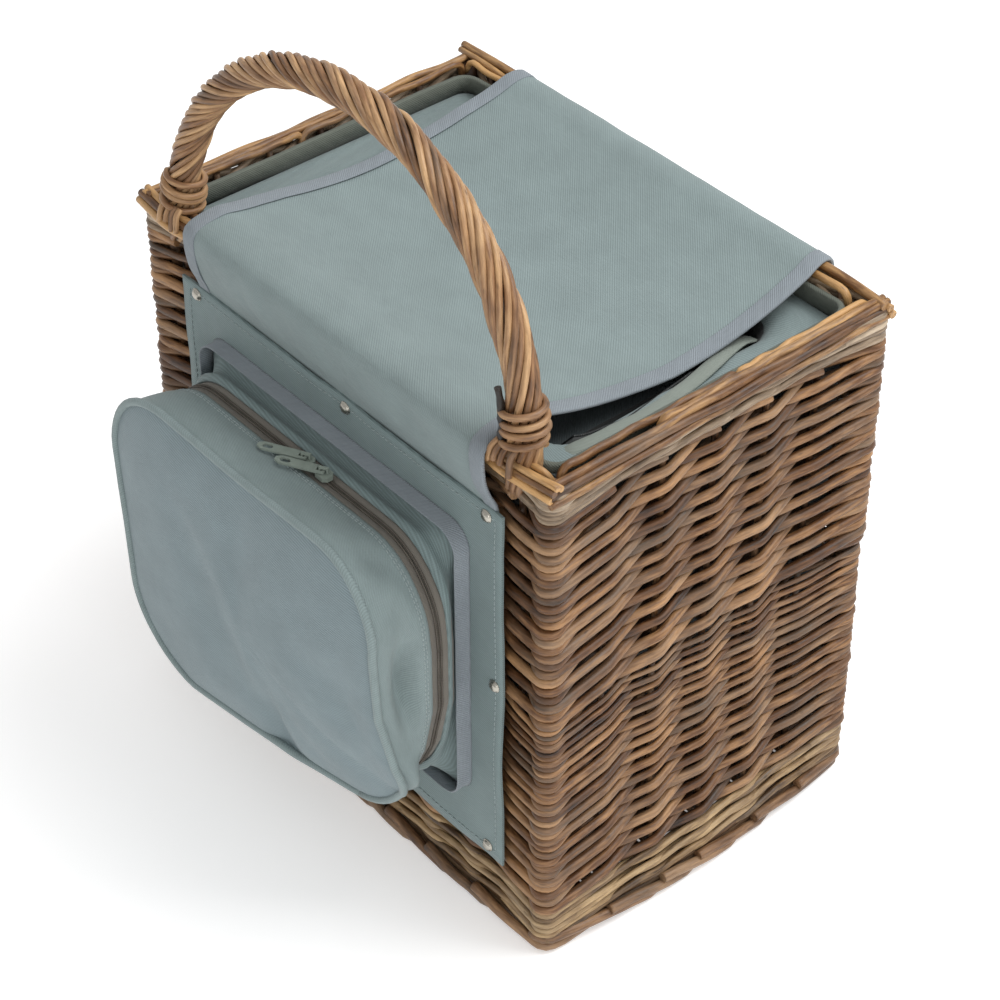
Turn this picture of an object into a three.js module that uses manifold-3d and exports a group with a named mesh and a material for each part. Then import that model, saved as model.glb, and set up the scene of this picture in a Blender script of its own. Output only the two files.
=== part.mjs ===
// Willow picnic basket: woven walls, an arched handle, a zipped cooler hung inside the walls,
// a fabric cover over the top, and a zipped pocket on a panel riveted to the front wall.
// Millimetres, +Z up. X runs along the front wall, the pocket faces -Y and z = 0 is the floor.

import * as THREE from "three";
import { mergeVertices } from "three/addons/utils/BufferGeometryUtils.js";
import Module from "manifold-3d";

const wasm = await Module();
wasm.setup();

// Clearances
const seatGap = 0.3; // between pieces that rest on each other or pass through each other
const zipGap = 0.6; // between the two halves of a zip
const linerGap = 3; // between the woven walls and the cooler hung inside them

// Woven walls, foot and rim
const wallWidth = 396;
const wallDepth = 272;
const wallThickness = 12;
const wallCornerRadius = 9;
const weaveRow = 14; // height of one row of the weave
const weaveHollow = 4; // depth of the weave where a rod passes behind a stake
const postSize = 16;
const postBulge = 4; // how far the wrapped corners stand out of the walls
const basketHeight = 400;
const footHeight = 14;
const footWidth = 20;
const footOverhang = 1;
const footChamfer = 3;
const footBow = 7; // how far the middle of each side of the foot stands out
const baseThickness = 10;
const waleHeight = 24;
const waleBulge = 1.5;
const waleBow = 5; // the same at half the height of the wale
const waleTopBow = 3; // and at its top
const rimHeight = 20;
const rimWidth = 17;
const rimOverhang = 5;
const rimChamfer = 3.5;

// Upright stakes inside the walls, rising from a hoop at the foot
const stakeDiameter = 5;
const stakeDepth = 8; // from a wall's outer face to the stakes' axes
const frontStakeCount = 7; // between the two feet of the handle
const sideStakeCount = 5;
const hoopSize = 5;

// Handle
const handleDiameter = 22;
const handleInset = 31; // from the side of the basket to the axis of a handle foot
const handleDepth = 6.5; // from the front wall's outer face to the handle's axis
const archRise = 151; // from the top of the rim to the axis at the top of the arch
const archLean = 15; // the top of the arch leans back over the basket
const coreDiameter = 7;
const coreInsertion = 60; // how far the core rod goes down into the front wall
const handleFootGap = 1;
const lashingDiameter = 4.8;
const lashingPitch = 6.6;
const lashingTurns = 5;
const lashingLift = 4.4; // axis of the first turn above the top of the rim

// Fabric, tape and zips
const sheetThickness = 1.2;
const tapeThickness = 0.7;
const bindingCover = 9; // how far a binding tape reaches over the edge that it binds
const chainWidth = 2.2;
const chainStand = 0.9; // how far a zip's chain stands out of its tape
const zipTapeThickness = 1;

// Cooler
const skinThickness = 1;
const foamThickness = 8;
const liningThickness = 0.8;
const linerRadius = 1;
const linerDrop = 12; // top of the outer skin below the top of the rim
const linerBindingHeight = 12;
const foamDrop = 44; // top of the foam below the top of the rim
const collarDrop = 28; // outer edge of the collar below the top of the rim
const collarReach = 30;
const collarFall = 14;
const lidZipTapeWidth = 4.9;
const lidThickness = 7;
const lidCrown = 2;
const lidCrownInset = 41; // from the lid's edge to its flat middle
const lidEdgeRound = 2;
const lidSliderSetback = 28.7; // from the back edge of the lid to its slider

// Cover flap
const flapInset = 27; // from the axis of a handle foot to the edge of the flap
const flapSag = 29;
const flapBackDrop = 80;
const flapBendRadius = 5;
const flapHingeSetback = 3; // from the rim's inner edge to the line the flap turns on
const flapFlatRun = 2; // flat start of the flap before it begins to sag
const tailTuck = 18; // how far the flap's front end reaches down behind the panel
const tailStand = 2; // the front end stays upright this far above the panel
const tailRun = 21; // height over which the front end swings out from the wall to the rim

// Front panel and rivets
const panelShift = 2; // the panel sits a little off centre
const panelInset = 38; // from the side of the basket to the edge of the panel
const panelDrop = 46; // top of the panel below the top of the rim
const panelLift = 18; // bottom of the panel above the bottom wale
const panelThickness = 1.6;
const rivetHeadDiameter = 9.2;
const rivetHeadHeight = 2.6;
const rivetShankDiameter = 3.6;
const rivetBrim = 0.8; // height of the head's upright edge
const rivetShoulderDiameter = 6.6;
const rivetShoulderHeight = 2.1;
const rivetDepth = 4.5; // how far a shank is driven into the wall
const rivetEdgeInset = 8; // from the top and bottom edges of the panel
const rivetCornerInset = 15; // from the side edges, at the corners
const rivetSideInset = 8; // from the side edges, near half way up
const rivetSideLift = 8; // above half way up
const rivetMiddleShift = 11;

// Front pocket
const pocketWidth = 250;
const pocketLift = 44; // bottom of the pocket's base above the bottom of the panel
const pocketDrop = 45.7; // top of the pocket's base below the top of the panel
const pocketWall = 2;
const rearGussetDepth = 21;
const frontGussetDepth = 35;
const bulgeShare = 0.6; // share of the gusset's flare that is reached half way along it
const pocketZipTapeWidth = 6.2;
const pocketEdgeDepth = 5;
const pocketEdgeInset = 6;
const pocketCrown = 8.5;
const crownShares = [0.25, 0.5, 0.78]; // rings of the crowned face, as shares of its outline
const pipingDiameter = 5.2;
const frameTapeWidth = 11;
const baseSection = { growX: 0, growZ: 0, radius: 14, drop: 0 };
const zipSection = { growX: 6, growZ: 5, radius: 48, drop: 0 };
const edgeSection = { growX: 18, growZ: 14, radius: 62, drop: 2.5 };

// Zip sliders and pulls
const sliderLength = 12;
const sliderWidth = 9;
const sliderHeight = 3.2;
const sliderChamfer = 2.5;
const bailLength = 6.4;
const bailHeight = 4.2;
const bailThickness = 2;
const bailBar = 1.2;
const pivotHeight = 1.5;
const pullThickness = 1.4;
const pullLength = 33;
const pullWidth = 7;
const pullNeck = 5.6; // width at the end that the bail holds
const pullBar = 1.6;
const pullWindow = 4.8;
const pullRail = 1.5;
const pullHoleLength = 7;
const pullHoleWidth = 3.6;
const pocketPullYaw = THREE.MathUtils.degToRad(208);
const lidZipYaw = THREE.MathUtils.degToRad(90);
const lidPullYaw = THREE.MathUtils.degToRad(90);
const pocketZipYaw = 0;
const pocketSliderX = { left: 8, right: 26 };

// Facets
const cornerSteps = 3;
const bowSteps = 6;
const sharpRadius = 0.5;
const archSteps = 28;
const handleSides = 10;
const coreSides = 6;
const lashingSides = 6;
const lashingStepsPerTurn = 24;
const stakeSides = 6;
const holeSides = 8;
const rivetSides = 8;
const pipingSides = 6;
const sagSteps = 12;
const bendSteps = 4;

// Places worked out from the sizes
const halfWidth = wallWidth / 2;
const halfDepth = wallDepth / 2;
const waleBottom = footHeight + seatGap;
const waleTop = waleBottom + waleHeight;
const sidingBottom = waleTop + seatGap;
const rimBottom = basketHeight - rimHeight;
const sidingTop = rimBottom - seatGap;
const baseTop = waleBottom + baseThickness;
const handleX = halfWidth - handleInset;
const handleY = -(halfDepth - handleDepth);
const handleRadius = handleDiameter / 2;
const coreRadius = coreDiameter / 2;
const frontPitch = (2 * handleX) / (frontStakeCount + 1);
const sidePitch = (wallDepth - postSize) / (sideStakeCount + 1);
const frontStakes = evenPlaces(frontStakeCount, frontPitch);
const backStakes = [-handleX, ...frontStakes, handleX];
const sideStakes = evenPlaces(sideStakeCount, sidePitch);
const rimOuterY = halfDepth + rimOverhang;
const rimInnerY = rimOuterY - rimWidth;
const bindingHalf = sheetThickness / 2 + seatGap + tapeThickness;
const flapHalf = handleX - flapInset;
const flapZ = basketHeight + seatGap + bindingHalf;
const flapOutY = rimOuterY + seatGap + bindingHalf;
const flapHingeY = -(rimInnerY - flapHingeSetback);
const tailY = -(halfDepth + seatGap + bindingHalf);
const panelBackY = tailY - sheetThickness / 2 - seatGap;
const panelFrontY = panelBackY - panelThickness;
const panelTop = basketHeight - panelDrop;
const panelBottom = waleTop + panelLift;
const panelHalf = halfWidth - panelInset;
const skinX = halfWidth - wallThickness - linerGap;
const skinY = halfDepth - wallThickness - linerGap;
const skinBottom = baseTop + seatGap;
const skinTop = basketHeight - linerDrop;
const foamTop = basketHeight - foamDrop;
const collarOuterZ = basketHeight - collarDrop;
const collarInnerZ = collarOuterZ - collarFall;
const collarInset = skinThickness + seatGap + collarReach;
const pocketHeight = panelTop - panelBottom - pocketLift - pocketDrop;
const pocketCentreZ = panelBottom + pocketLift + pocketHeight / 2;
const pocketBackY = panelFrontY - seatGap;
const zipRearY = pocketBackY - rearGussetDepth;
const zipMiddleY = zipRearY - seatGap - pocketZipTapeWidth - zipGap / 2;
const shellMouthY = zipMiddleY - zipGap / 2 - pocketZipTapeWidth - seatGap;
const shellEdgeY = shellMouthY - frontGussetDepth;
const pocketFaceY = shellEdgeY - pocketEdgeDepth;
const pocketFrontY = pocketFaceY - pocketCrown;
const flapBackY = flapOutY + bindingHalf;

function finish(color, roughness, metalness = 0) {
  return new THREE.MeshStandardMaterial({ color, roughness, metalness });
}

const willow = finish(0x7d5a3e, 0.7);
willow.flatShading = true; // shows the facets of the weave
const paleWillow = finish(0x9c7b57, 0.7);
const tanWillow = finish(0xa8794c, 0.6);
const oxfordCloth = finish(0x7c8a8a, 0.85);
const panelCloth = finish(0x6a7a78, 0.85);
const twillTape = finish(0x9aa1a8, 0.8);
const darkTape = finish(0x5e615d, 0.85);
const foam = finish(0xe6e6e2, 0.9);
const foil = finish(0xc4c8cc, 0.35, 0.6);
const zipTape = finish(0x5c564e, 0.8);
const darkZip = finish(0x2b2d2e, 0.7);
const nickel = finish(0xb9b7ae, 0.3, 1);
const paintedMetal = finish(0x667069, 0.45, 0.3);

// The whole part stands with the middle of its box over the origin.
const part = new THREE.Group();
part.position.y = -(pocketFrontY + flapBackY) / 2;

function add(name, geometry, material, parent = part) {
  const mesh = new THREE.Mesh(geometry, material);
  mesh.name = name;
  parent.add(mesh);
  return mesh;
}

function polygon(radius, sides, x = 0, y = 0) {
  return Array.from({ length: sides }, (_, i) => {
    const angle = (2 * Math.PI * i) / sides;
    return new THREE.Vector2(x + radius * Math.cos(angle), y + radius * Math.sin(angle));
  });
}

function pointList(pairs) {
  return pairs.map(([x, y]) => new THREE.Vector2(x, y));
}

function rectangle(x0, x1, y0, y1) {
  return pointList([[x0, y0], [x1, y0], [x1, y1], [x0, y1]]);
}

// Places at one pitch, centred on zero.
function evenPlaces(count, pitch) {
  return Array.from({ length: count }, (_, i) => (i - (count - 1) / 2) * pitch);
}

// Even steps from low to high, as near to a pitch as whole steps allow.
function evenSteps(low, high, pitch) {
  const count = Math.round((high - low) / pitch);
  return Array.from({ length: count + 1 }, (_, i) => THREE.MathUtils.lerp(low, high, i / count));
}

function roundedRect(halfX, halfY, radius) {
  const r = Math.max(radius, sharpRadius);
  const points = [];
  const signs = [[1, 1], [-1, 1], [-1, -1], [1, -1]];
  signs.forEach(([signX, signY], corner) => {
    for (let step = 0; step <= cornerSteps; step++) {
      const angle = (Math.PI / 2) * (corner + step / cornerSteps);
      const x = signX * (halfX - r) + r * Math.cos(angle);
      const y = signY * (halfY - r) + r * Math.sin(angle);
      points.push(new THREE.Vector2(x, y));
    }
  });
  return points;
}

// An outline in plan, extruded upwards.
function plate(outline, holes, low, high) {
  const shape = new THREE.Shape(outline);
  shape.holes = holes.map((hole) => new THREE.Path(hole));
  const geometry = new THREE.ExtrudeGeometry(shape, { depth: high - low, bevelEnabled: false });
  return geometry.translate(0, 0, low);
}

// An outline in x and z, extruded along y from back to front.
function frontPlate(outline, holes, backY, frontY) {
  const axes = [new THREE.Vector3(1, 0, 0), new THREE.Vector3(0, 0, 1), new THREE.Vector3(0, -1, 0)];
  const turn = new THREE.Matrix4().makeBasis(...axes);
  return plate(outline, holes, 0, backY - frontY).applyMatrix4(turn).translate(0, backY, 0);
}

// An outline in y and z, extruded along x.
function crossPlate(outline, x0, x1) {
  const axes = [new THREE.Vector3(0, 1, 0), new THREE.Vector3(0, 0, 1), new THREE.Vector3(1, 0, 0)];
  const turn = new THREE.Matrix4().makeBasis(...axes);
  return plate(outline, [], x0, x1).applyMatrix4(turn);
}

function signedVolume(points, faces) {
  let six = 0;
  for (let i = 0; i < faces.length; i += 3) {
    const [a, b, c] = [points[faces[i]], points[faces[i + 1]], points[faces[i + 2]]];
    six += a.dot(new THREE.Vector3().crossVectors(b, c));
  }
  return six / 6;
}

function closedGeometry(points, faces) {
  if (signedVolume(points, faces) < 0) {
    faces.reverse();
  }
  const geometry = new THREE.BufferGeometry().setFromPoints(points);
  geometry.setIndex(faces);
  geometry.computeVertexNormals();
  return geometry;
}

function centreOf(ring) {
  return ring.reduce((sum, p) => sum.add(p), new THREE.Vector3()).divideScalar(ring.length);
}

function ringSides(rings, loop) {
  const count = rings[0].length;
  const faces = [];
  const spans = loop ? rings.length : rings.length - 1;
  for (let r = 0; r < spans; r++) {
    const a = r * count;
    const b = ((r + 1) % rings.length) * count;
    for (let i = 0; i < count; i++) {
      const j = (i + 1) % count;
      faces.push(a + i, a + j, b + j, a + i, b + j, b + i);
    }
  }
  return faces;
}

// A body through rings of equally many points, with its two ends fanned to their centres.
function loft(rings) {
  const count = rings[0].length;
  const points = rings.flat();
  const faces = ringSides(rings, false);
  const lastStart = (rings.length - 1) * count;
  const firstCentre = points.push(centreOf(rings[0])) - 1;
  const lastCentre = points.push(centreOf(rings[rings.length - 1])) - 1;
  for (let i = 0; i < count; i++) {
    const j = (i + 1) % count;
    faces.push(firstCentre, j, i, lastCentre, lastStart + i, lastStart + j);
  }
  return closedGeometry(points, faces);
}

// A body through rings that lead round to the first one again.
function loopLoft(rings) {
  return closedGeometry(rings.flat(), ringSides(rings, true));
}

function profileRing(profile, { at, across, out }) {
  return profile.map((p) => at.clone().addScaledVector(across, p.x).addScaledVector(out, p.y));
}

// A profile of any outline carried along frames, with flat ends.
function sweep(profile, frames) {
  const rings = frames.map((frame) => profileRing(profile, frame));
  const faces = ringSides(rings, false);
  const lastStart = (rings.length - 1) * profile.length;
  const turning = Math.sign(THREE.ShapeUtils.area(profile));
  for (const triangle of THREE.ShapeUtils.triangulateShape(profile, [])) {
    const inOrder = Math.sign(THREE.ShapeUtils.area(triangle.map((i) => profile[i]))) === turning;
    const [a, b, c] = inOrder ? triangle : [...triangle].reverse();
    faces.push(c, b, a, lastStart + a, lastStart + b, lastStart + c);
  }
  return closedGeometry(rings.flat(), faces);
}

function toSolid(geometry) {
  const bare = new THREE.BufferGeometry();
  bare.setAttribute("position", geometry.getAttribute("position"));
  bare.setIndex(geometry.getIndex());
  const merged = mergeVertices(bare);
  const vertProperties = new Float32Array(merged.getAttribute("position").array);
  const triVerts = new Uint32Array(merged.getIndex().array);
  return new wasm.Manifold(new wasm.Mesh({ numProp: 3, vertProperties, triVerts }));
}

function toGeometry(solid) {
  const { vertProperties, triVerts } = solid.getMesh();
  const geometry = new THREE.BufferGeometry();
  geometry.setAttribute("position", new THREE.BufferAttribute(vertProperties, 3));
  geometry.setIndex(new THREE.BufferAttribute(triVerts, 1));
  geometry.computeVertexNormals();
  return geometry;
}

function cut(geometry, tools) {
  return toGeometry(tools.reduce((solid, tool) => solid.subtract(toSolid(tool)), toSolid(geometry)));
}

function join(geometries) {
  const [first, ...rest] = geometries.map(toSolid);
  return toGeometry(rest.reduce((solid, next) => solid.add(next), first));
}

function levelRing(outline, z) {
  return outline.map((p) => new THREE.Vector3(p.x, p.y, z));
}

// A profile of (outward offset, height) points carried round a rounded rectangle.
function rectangularHoop(halfX, halfY, radius, profile) {
  return loopLoft(profile.map(([u, z]) => levelRing(roundedRect(halfX + u, halfY + u, radius + u), z)));
}

// A rounded rectangle whose sides bow outwards in the middle.
function bowedRect(halfX, halfY, radius, bow) {
  const corners = roundedRect(halfX, halfY, radius);
  const perCorner = cornerSteps + 1;
  return corners.flatMap((p, i) => {
    if ((i + 1) % perCorner !== 0) {
      return [p];
    }
    const next = corners[(i + 1) % corners.length];
    const along = next.clone().sub(p).normalize();
    const outwards = new THREE.Vector2(along.y, -along.x);
    const side = evenSteps(0, 1, 1 / bowSteps).slice(1, -1);
    return [p, ...side.map((s) => p.clone().lerp(next, s).addScaledVector(outwards, 4 * bow * s * (1 - s)))];
  });
}

// The same for a profile of (outward offset, height, bow) points.
function bowedHoop(halfX, halfY, radius, profile) {
  const ring = ([u, z, bow]) => levelRing(bowedRect(halfX + u, halfY + u, radius + u, bow), z);
  return loopLoft(profile.map(ring));
}

function chamferedProfile(outer, inner, low, high, chamfer) {
  return [
    [outer, low + chamfer], [outer, high - chamfer], [outer - chamfer, high], [inner + chamfer, high],
    [inner, high - chamfer], [inner, low + chamfer], [inner + chamfer, low], [outer - chamfer, low],
  ];
}

// An open cup: a floor and a wall of one thickness round a rounded rectangle.
function cup(halfX, halfY, radius, wall, low, high) {
  const outer = roundedRect(halfX, halfY, radius);
  const inner = roundedRect(halfX - wall, halfY - wall, radius - wall);
  const outside = [levelRing(outer, low), levelRing(outer, high)];
  const inside = [levelRing(inner, high), levelRing(inner, low + wall)];
  return loft([...outside, ...inside]);
}

// Upright stakes, front and back at one pitch, with the handle's feet in the front row's end places.
function stakePlaces() {
  const lineX = halfWidth - stakeDepth;
  const lineY = halfDepth - stakeDepth;
  return [
    ...frontStakes.map((x) => [x, -lineY]), ...backStakes.map((x) => [x, lineY]),
    ...sideStakes.map((y) => [-lineX, y]), ...sideStakes.map((y) => [lineX, y]),
  ];
}

// The stakes and the hoop that they rise from. Grown by a gap, the same shape cuts its own room.
function stakeCage(gap) {
  const half = hoopSize / 2 + gap;
  const low = waleBottom - gap;
  const high = waleBottom + hoopSize + gap;
  const section = [[half, low], [half, high], [-half, high], [-half, low]];
  const hoopRadius = wallCornerRadius - stakeDepth;
  const hoop = rectangularHoop(halfWidth - stakeDepth, halfDepth - stakeDepth, hoopRadius, section);
  const radius = stakeDiameter / 2 + gap;
  const stake = ([x, y]) => plate(polygon(radius, stakeSides, x, y), [], low, sidingTop);
  return join([hoop, ...stakePlaces().map(stake)]);
}

// Lines of a woven face: the two at its ends stay flush, those between them carry the weave.
function weaveLines(places) {
  return places.map((at, i) => ({ at, woven: i > 0 && i + 1 < places.length }));
}

// A slab with one woven face, whose rods pass behind every other stake and change over at each row.
// point turns distances along, up and out of that face into a place.
function wovenSlab(columns, rows, thickness, point) {
  const width = columns.length;
  const last = rows.length - 1;
  const hollow = (i, j) => (columns[i].woven && rows[j].woven && (i + j) % 2 === 1 ? weaveHollow : 0);
  const points = rows.flatMap((row, j) =>
    columns.map((column, i) => point(column.at, row.at, -hollow(i, j))));
  const faces = [];
  for (let j = 0; j < last; j++) {
    for (let i = 0; i + 1 < width; i++) {
      const a = j * width + i;
      const b = a + width;
      faces.push(a, a + 1, b + 1, a, b + 1, b);
    }
  }
  const border = [
    ...columns.map((_, i) => i), ...rows.slice(1).map((_, j) => (j + 2) * width - 1),
    ...columns.slice(1).map((_, i) => (last + 1) * width - 2 - i),
    ...rows.slice(2).map((_, j) => (last - 1 - j) * width),
  ];
  const backs = border.map((k) => point(columns[k % width].at, rows[Math.floor(k / width)].at, -thickness));
  const start = points.length;
  const centre = start + border.length;
  border.forEach((front, k) => {
    const next = (k + 1) % border.length;
    faces.push(front, start + k, start + next, front, start + next, border[next]);
    faces.push(start + next, start + k, centre);
  });
  return closedGeometry([...points, ...backs, centreOf(backs)], faces);
}

// A woven wall between two ends, bored for the stakes that stand along it.
function wovenWall(end, stakes, point) {
  const columns = weaveLines([-end, ...stakes, end]);
  const rows = weaveLines(evenSteps(sidingBottom, sidingTop, weaveRow));
  const radius = stakeDiameter / 2 + seatGap;
  const bores = stakes.map((along) => {
    const { x, y } = point(along, 0, -stakeDepth);
    return plate(polygon(radius, stakeSides, x, y), [], waleTop, rimBottom);
  });
  return cut(wovenSlab(columns, rows, wallThickness, point), bores);
}

// The base is woven on its underside, inside the opening of the foot border.
function wovenBase() {
  const openX = halfWidth + footOverhang - footWidth;
  const openY = halfDepth + footOverhang - footWidth;
  const edgeX = halfWidth - wallThickness - seatGap;
  const edgeY = halfDepth - wallThickness - seatGap;
  const withEdges = (lines, edge) => [{ at: -edge, woven: false }, ...lines, { at: edge, woven: false }];
  const columns = withEdges(weaveLines([-openX, ...frontStakes, openX]), edgeX);
  const rows = withEdges(weaveLines(evenSteps(-openY, openY, weaveRow)), edgeY);
  return wovenSlab(columns, rows, baseThickness, (u, v, w) => new THREE.Vector3(u, v, waleBottom - w));
}

// A wrapped corner: flush with the walls at their ends, and standing out of them at the corner.
function cornerPost(signX, signY) {
  const outline = [
    new THREE.Vector2(signX * (halfWidth - postSize), signY * (halfDepth - wallThickness)),
    new THREE.Vector2(signX * (halfWidth - wallThickness), signY * (halfDepth - postSize)),
    new THREE.Vector2(signX * halfWidth, signY * (halfDepth - postSize)),
  ];
  for (let step = 0; step <= cornerSteps; step++) {
    const angle = (Math.PI / 2) * (step / cornerSteps);
    const x = halfWidth + postBulge - wallCornerRadius * (1 - Math.cos(angle));
    const y = halfDepth + postBulge - wallCornerRadius * (1 - Math.sin(angle));
    outline.push(new THREE.Vector2(signX * x, signY * y));
  }
  outline.push(new THREE.Vector2(signX * (halfWidth - postSize), signY * halfDepth));
  return plate(outline, [], sidingBottom, sidingTop);
}

// Rivets: each place is x and z on the front panel.
const rivetPlaces = {
  top_left: [panelShift - panelHalf + rivetCornerInset, panelTop - rivetEdgeInset],
  top_middle: [panelShift + rivetMiddleShift, panelTop - rivetEdgeInset],
  top_right: [panelShift + panelHalf - rivetCornerInset, panelTop - rivetEdgeInset],
  left: [panelShift - panelHalf + rivetSideInset, (panelTop + panelBottom) / 2 + rivetSideLift],
  right: [panelShift + panelHalf - rivetSideInset, (panelTop + panelBottom) / 2 + rivetSideLift],
  bottom_left: [panelShift - panelHalf + rivetCornerInset, panelBottom + rivetEdgeInset],
  bottom_middle: [panelShift + rivetMiddleShift, panelBottom + rivetEdgeInset],
  bottom_right: [panelShift + panelHalf - rivetCornerInset, panelBottom + rivetEdgeInset],
};

function rivetHole([x, z]) {
  return polygon(rivetShankDiameter / 2 + seatGap, holeSides, x, z);
}

// The room that every shank needs, from in front of the panel to its end inside the wall.
function rivetRooms() {
  const inner = -(halfDepth - rivetDepth - seatGap);
  return Object.values(rivetPlaces).map((place) => frontPlate(rivetHole(place), [], inner, panelFrontY));
}

function rivet() {
  const shank = rivetShankDiameter / 2;
  const head = rivetHeadDiameter / 2;
  const length = rivetDepth - halfDepth - panelFrontY + seatGap;
  const profile = [
    [0, 0], [shank, 0], [shank, length], [head, length], [head, length + rivetBrim],
    [rivetShoulderDiameter / 2, length + rivetShoulderHeight], [0, length + rivetHeadHeight],
  ];
  return new THREE.LatheGeometry(pointList(profile), rivetSides).rotateX(Math.PI);
}

// Handle arch, from t = 0 at the right foot to t = pi at the left foot.
const archPlaneNormal = new THREE.Vector3(0, -archRise, archLean).normalize();

function archFrame(t) {
  const sin = Math.sin(t);
  const cos = Math.cos(t);
  const at = new THREE.Vector3(handleX * cos, handleY + archLean * sin, basketHeight + archRise * sin);
  const along = new THREE.Vector3(-handleX * sin, archLean * cos, archRise * cos).normalize();
  const across = new THREE.Vector3().crossVectors(archPlaneNormal, along);
  return { at, along, across, out: archPlaneNormal };
}

function archAngle(z) {
  return Math.asin((z - basketHeight) / archRise);
}

function archFrames() {
  const start = archAngle(basketHeight + handleFootGap);
  return Array.from({ length: archSteps + 1 }, (_, i) =>
    archFrame(THREE.MathUtils.lerp(start, Math.PI - start, i / archSteps)));
}

// An upright stretch of the core inside the wall, on the side given by its sign.
function coreFoot(side, z) {
  const at = new THREE.Vector3(side * handleX, handleY, z);
  return { at, across: new THREE.Vector3(-side, 0, 0), out: new THREE.Vector3(0, -1, 0) };
}

function handleCore() {
  const low = rimBottom - coreInsertion;
  const rightFoot = [coreFoot(1, low), coreFoot(1, basketHeight)];
  const leftFoot = [coreFoot(-1, basketHeight), coreFoot(-1, low)];
  return sweep(polygon(coreRadius, coreSides), [...rightFoot, ...archFrames(), ...leftFoot]);
}

function handleSleeve() {
  const frames = archFrames();
  const outside = frames.map((frame) => profileRing(polygon(handleRadius, handleSides), frame));
  const bore = frames.map((frame) => profileRing(polygon(coreRadius + seatGap, handleSides), frame));
  return loopLoft([...outside, ...bore.reverse()]);
}

function coreRooms(low, high) {
  const radius = coreRadius + seatGap;
  return [-handleX, handleX].map((x) => plate(polygon(radius, handleSides, x, handleY), [], low, high));
}

// A winding of one rod round a foot of the handle, on the side given by its sign.
function lashingFrames(side) {
  const radius = handleRadius + 2 * seatGap + lashingDiameter / 2;
  const start = archAngle(basketHeight + lashingLift);
  const steps = lashingTurns * lashingStepsPerTurn;
  const climb = lashingPitch / archRise;
  const frames = [];
  for (let i = 0; i <= steps; i++) {
    const turn = i / lashingStepsPerTurn;
    const angle = 2 * Math.PI * turn;
    const t = start + climb * turn;
    const { at, along, across, out } = archFrame(side > 0 ? t : Math.PI - t);
    const upwards = along.clone().multiplyScalar(side);
    const radial = across.clone().multiplyScalar(Math.cos(angle)).addScaledVector(out, Math.sin(angle));
    const round = across.clone().multiplyScalar(-Math.sin(angle)).addScaledVector(out, Math.cos(angle));
    const forward = round.addScaledVector(upwards, lashingPitch / (2 * Math.PI * radius)).normalize();
    const place = at.clone().addScaledVector(radial, radius);
    const sideways = new THREE.Vector3().crossVectors(forward, radial);
    frames.push({ at: place, forward, across: radial, out: sideways });
  }
  return frames;
}

function straightEnd(frame, distance) {
  return { ...frame, at: frame.at.clone().addScaledVector(frame.forward, distance) };
}

function leastSelfGap(frames) {
  let least = Infinity;
  for (let i = 0; i < frames.length; i++) {
    for (let j = i + lashingStepsPerTurn / 2; j < frames.length; j++) {
      least = Math.min(least, frames[i].at.distanceTo(frames[j].at));
    }
  }
  return least - lashingDiameter;
}

function lashing(name, side) {
  const turns = lashingFrames(side);
  const head = straightEnd(turns[0], -lashingDiameter);
  const tail = straightEnd(turns[turns.length - 1], lashingDiameter);
  const frames = [head, ...turns, tail];
  console.log(`${name}: least gap to itself ${leastSelfGap(frames).toFixed(2)} mm`);
  return sweep(polygon(lashingDiameter / 2, lashingSides), frames);
}

function addWillowWork() {
  const footInner = footOverhang - footWidth;
  const footMiddle = (footOverhang + footInner) / 2;
  const footProfile = chamferedProfile(footOverhang, footInner, 0, footHeight, footChamfer)
    .map(([u, z]) => [u, z, u > footMiddle ? footBow : 0]);
  const waleMiddle = (waleBottom + waleTop) / 2;
  const waleProfile = [
    [0, waleBottom, footBow], [waleBulge, waleMiddle, waleBow], [0, waleTop, waleTopBow],
    [-wallThickness, waleTop, 0], [-wallThickness, waleBottom, 0],
  ];
  const rimInner = rimOverhang - rimWidth;
  const rimProfile = chamferedProfile(rimOverhang, rimInner, rimBottom, basketHeight, rimChamfer);
  const wale = bowedHoop(halfWidth, halfDepth, wallCornerRadius, waleProfile);
  const rim = rectangularHoop(halfWidth, halfDepth, wallCornerRadius, rimProfile);
  const endX = halfWidth - postSize - seatGap;
  const endY = halfDepth - postSize - seatGap;
  const onFront = (u, v, w) => new THREE.Vector3(u, -halfDepth - w, v);
  const onBack = (u, v, w) => new THREE.Vector3(u, halfDepth + w, v);
  const onLeft = (u, v, w) => new THREE.Vector3(-halfWidth - w, u, v);
  const onRight = (u, v, w) => new THREE.Vector3(halfWidth + w, u, v);
  const front = wovenWall(endX, frontStakes, onFront);
  const coreLow = rimBottom - coreInsertion - seatGap;

  add("foot_border", bowedHoop(halfWidth, halfDepth, wallCornerRadius, footProfile), tanWillow);
  add("woven_base", wovenBase(), willow);
  add("bottom_wale", cut(wale, [stakeCage(seatGap)]), paleWillow);
  add("stake_cage", stakeCage(0), paleWillow);
  add("siding_front", cut(front, [...rivetRooms(), ...coreRooms(coreLow, basketHeight)]), willow);
  add("siding_back", wovenWall(endX, backStakes, onBack), willow);
  add("siding_left", wovenWall(endY, sideStakes, onLeft), willow);
  add("siding_right", wovenWall(endY, sideStakes, onRight), willow);
  add("corner_post_front_left", cornerPost(-1, -1), willow);
  add("corner_post_front_right", cornerPost(1, -1), willow);
  add("corner_post_back_left", cornerPost(-1, 1), willow);
  add("corner_post_back_right", cornerPost(1, 1), willow);
  add("rim_border", cut(rim, coreRooms(rimBottom - seatGap, basketHeight + seatGap)), tanWillow);
}

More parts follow.
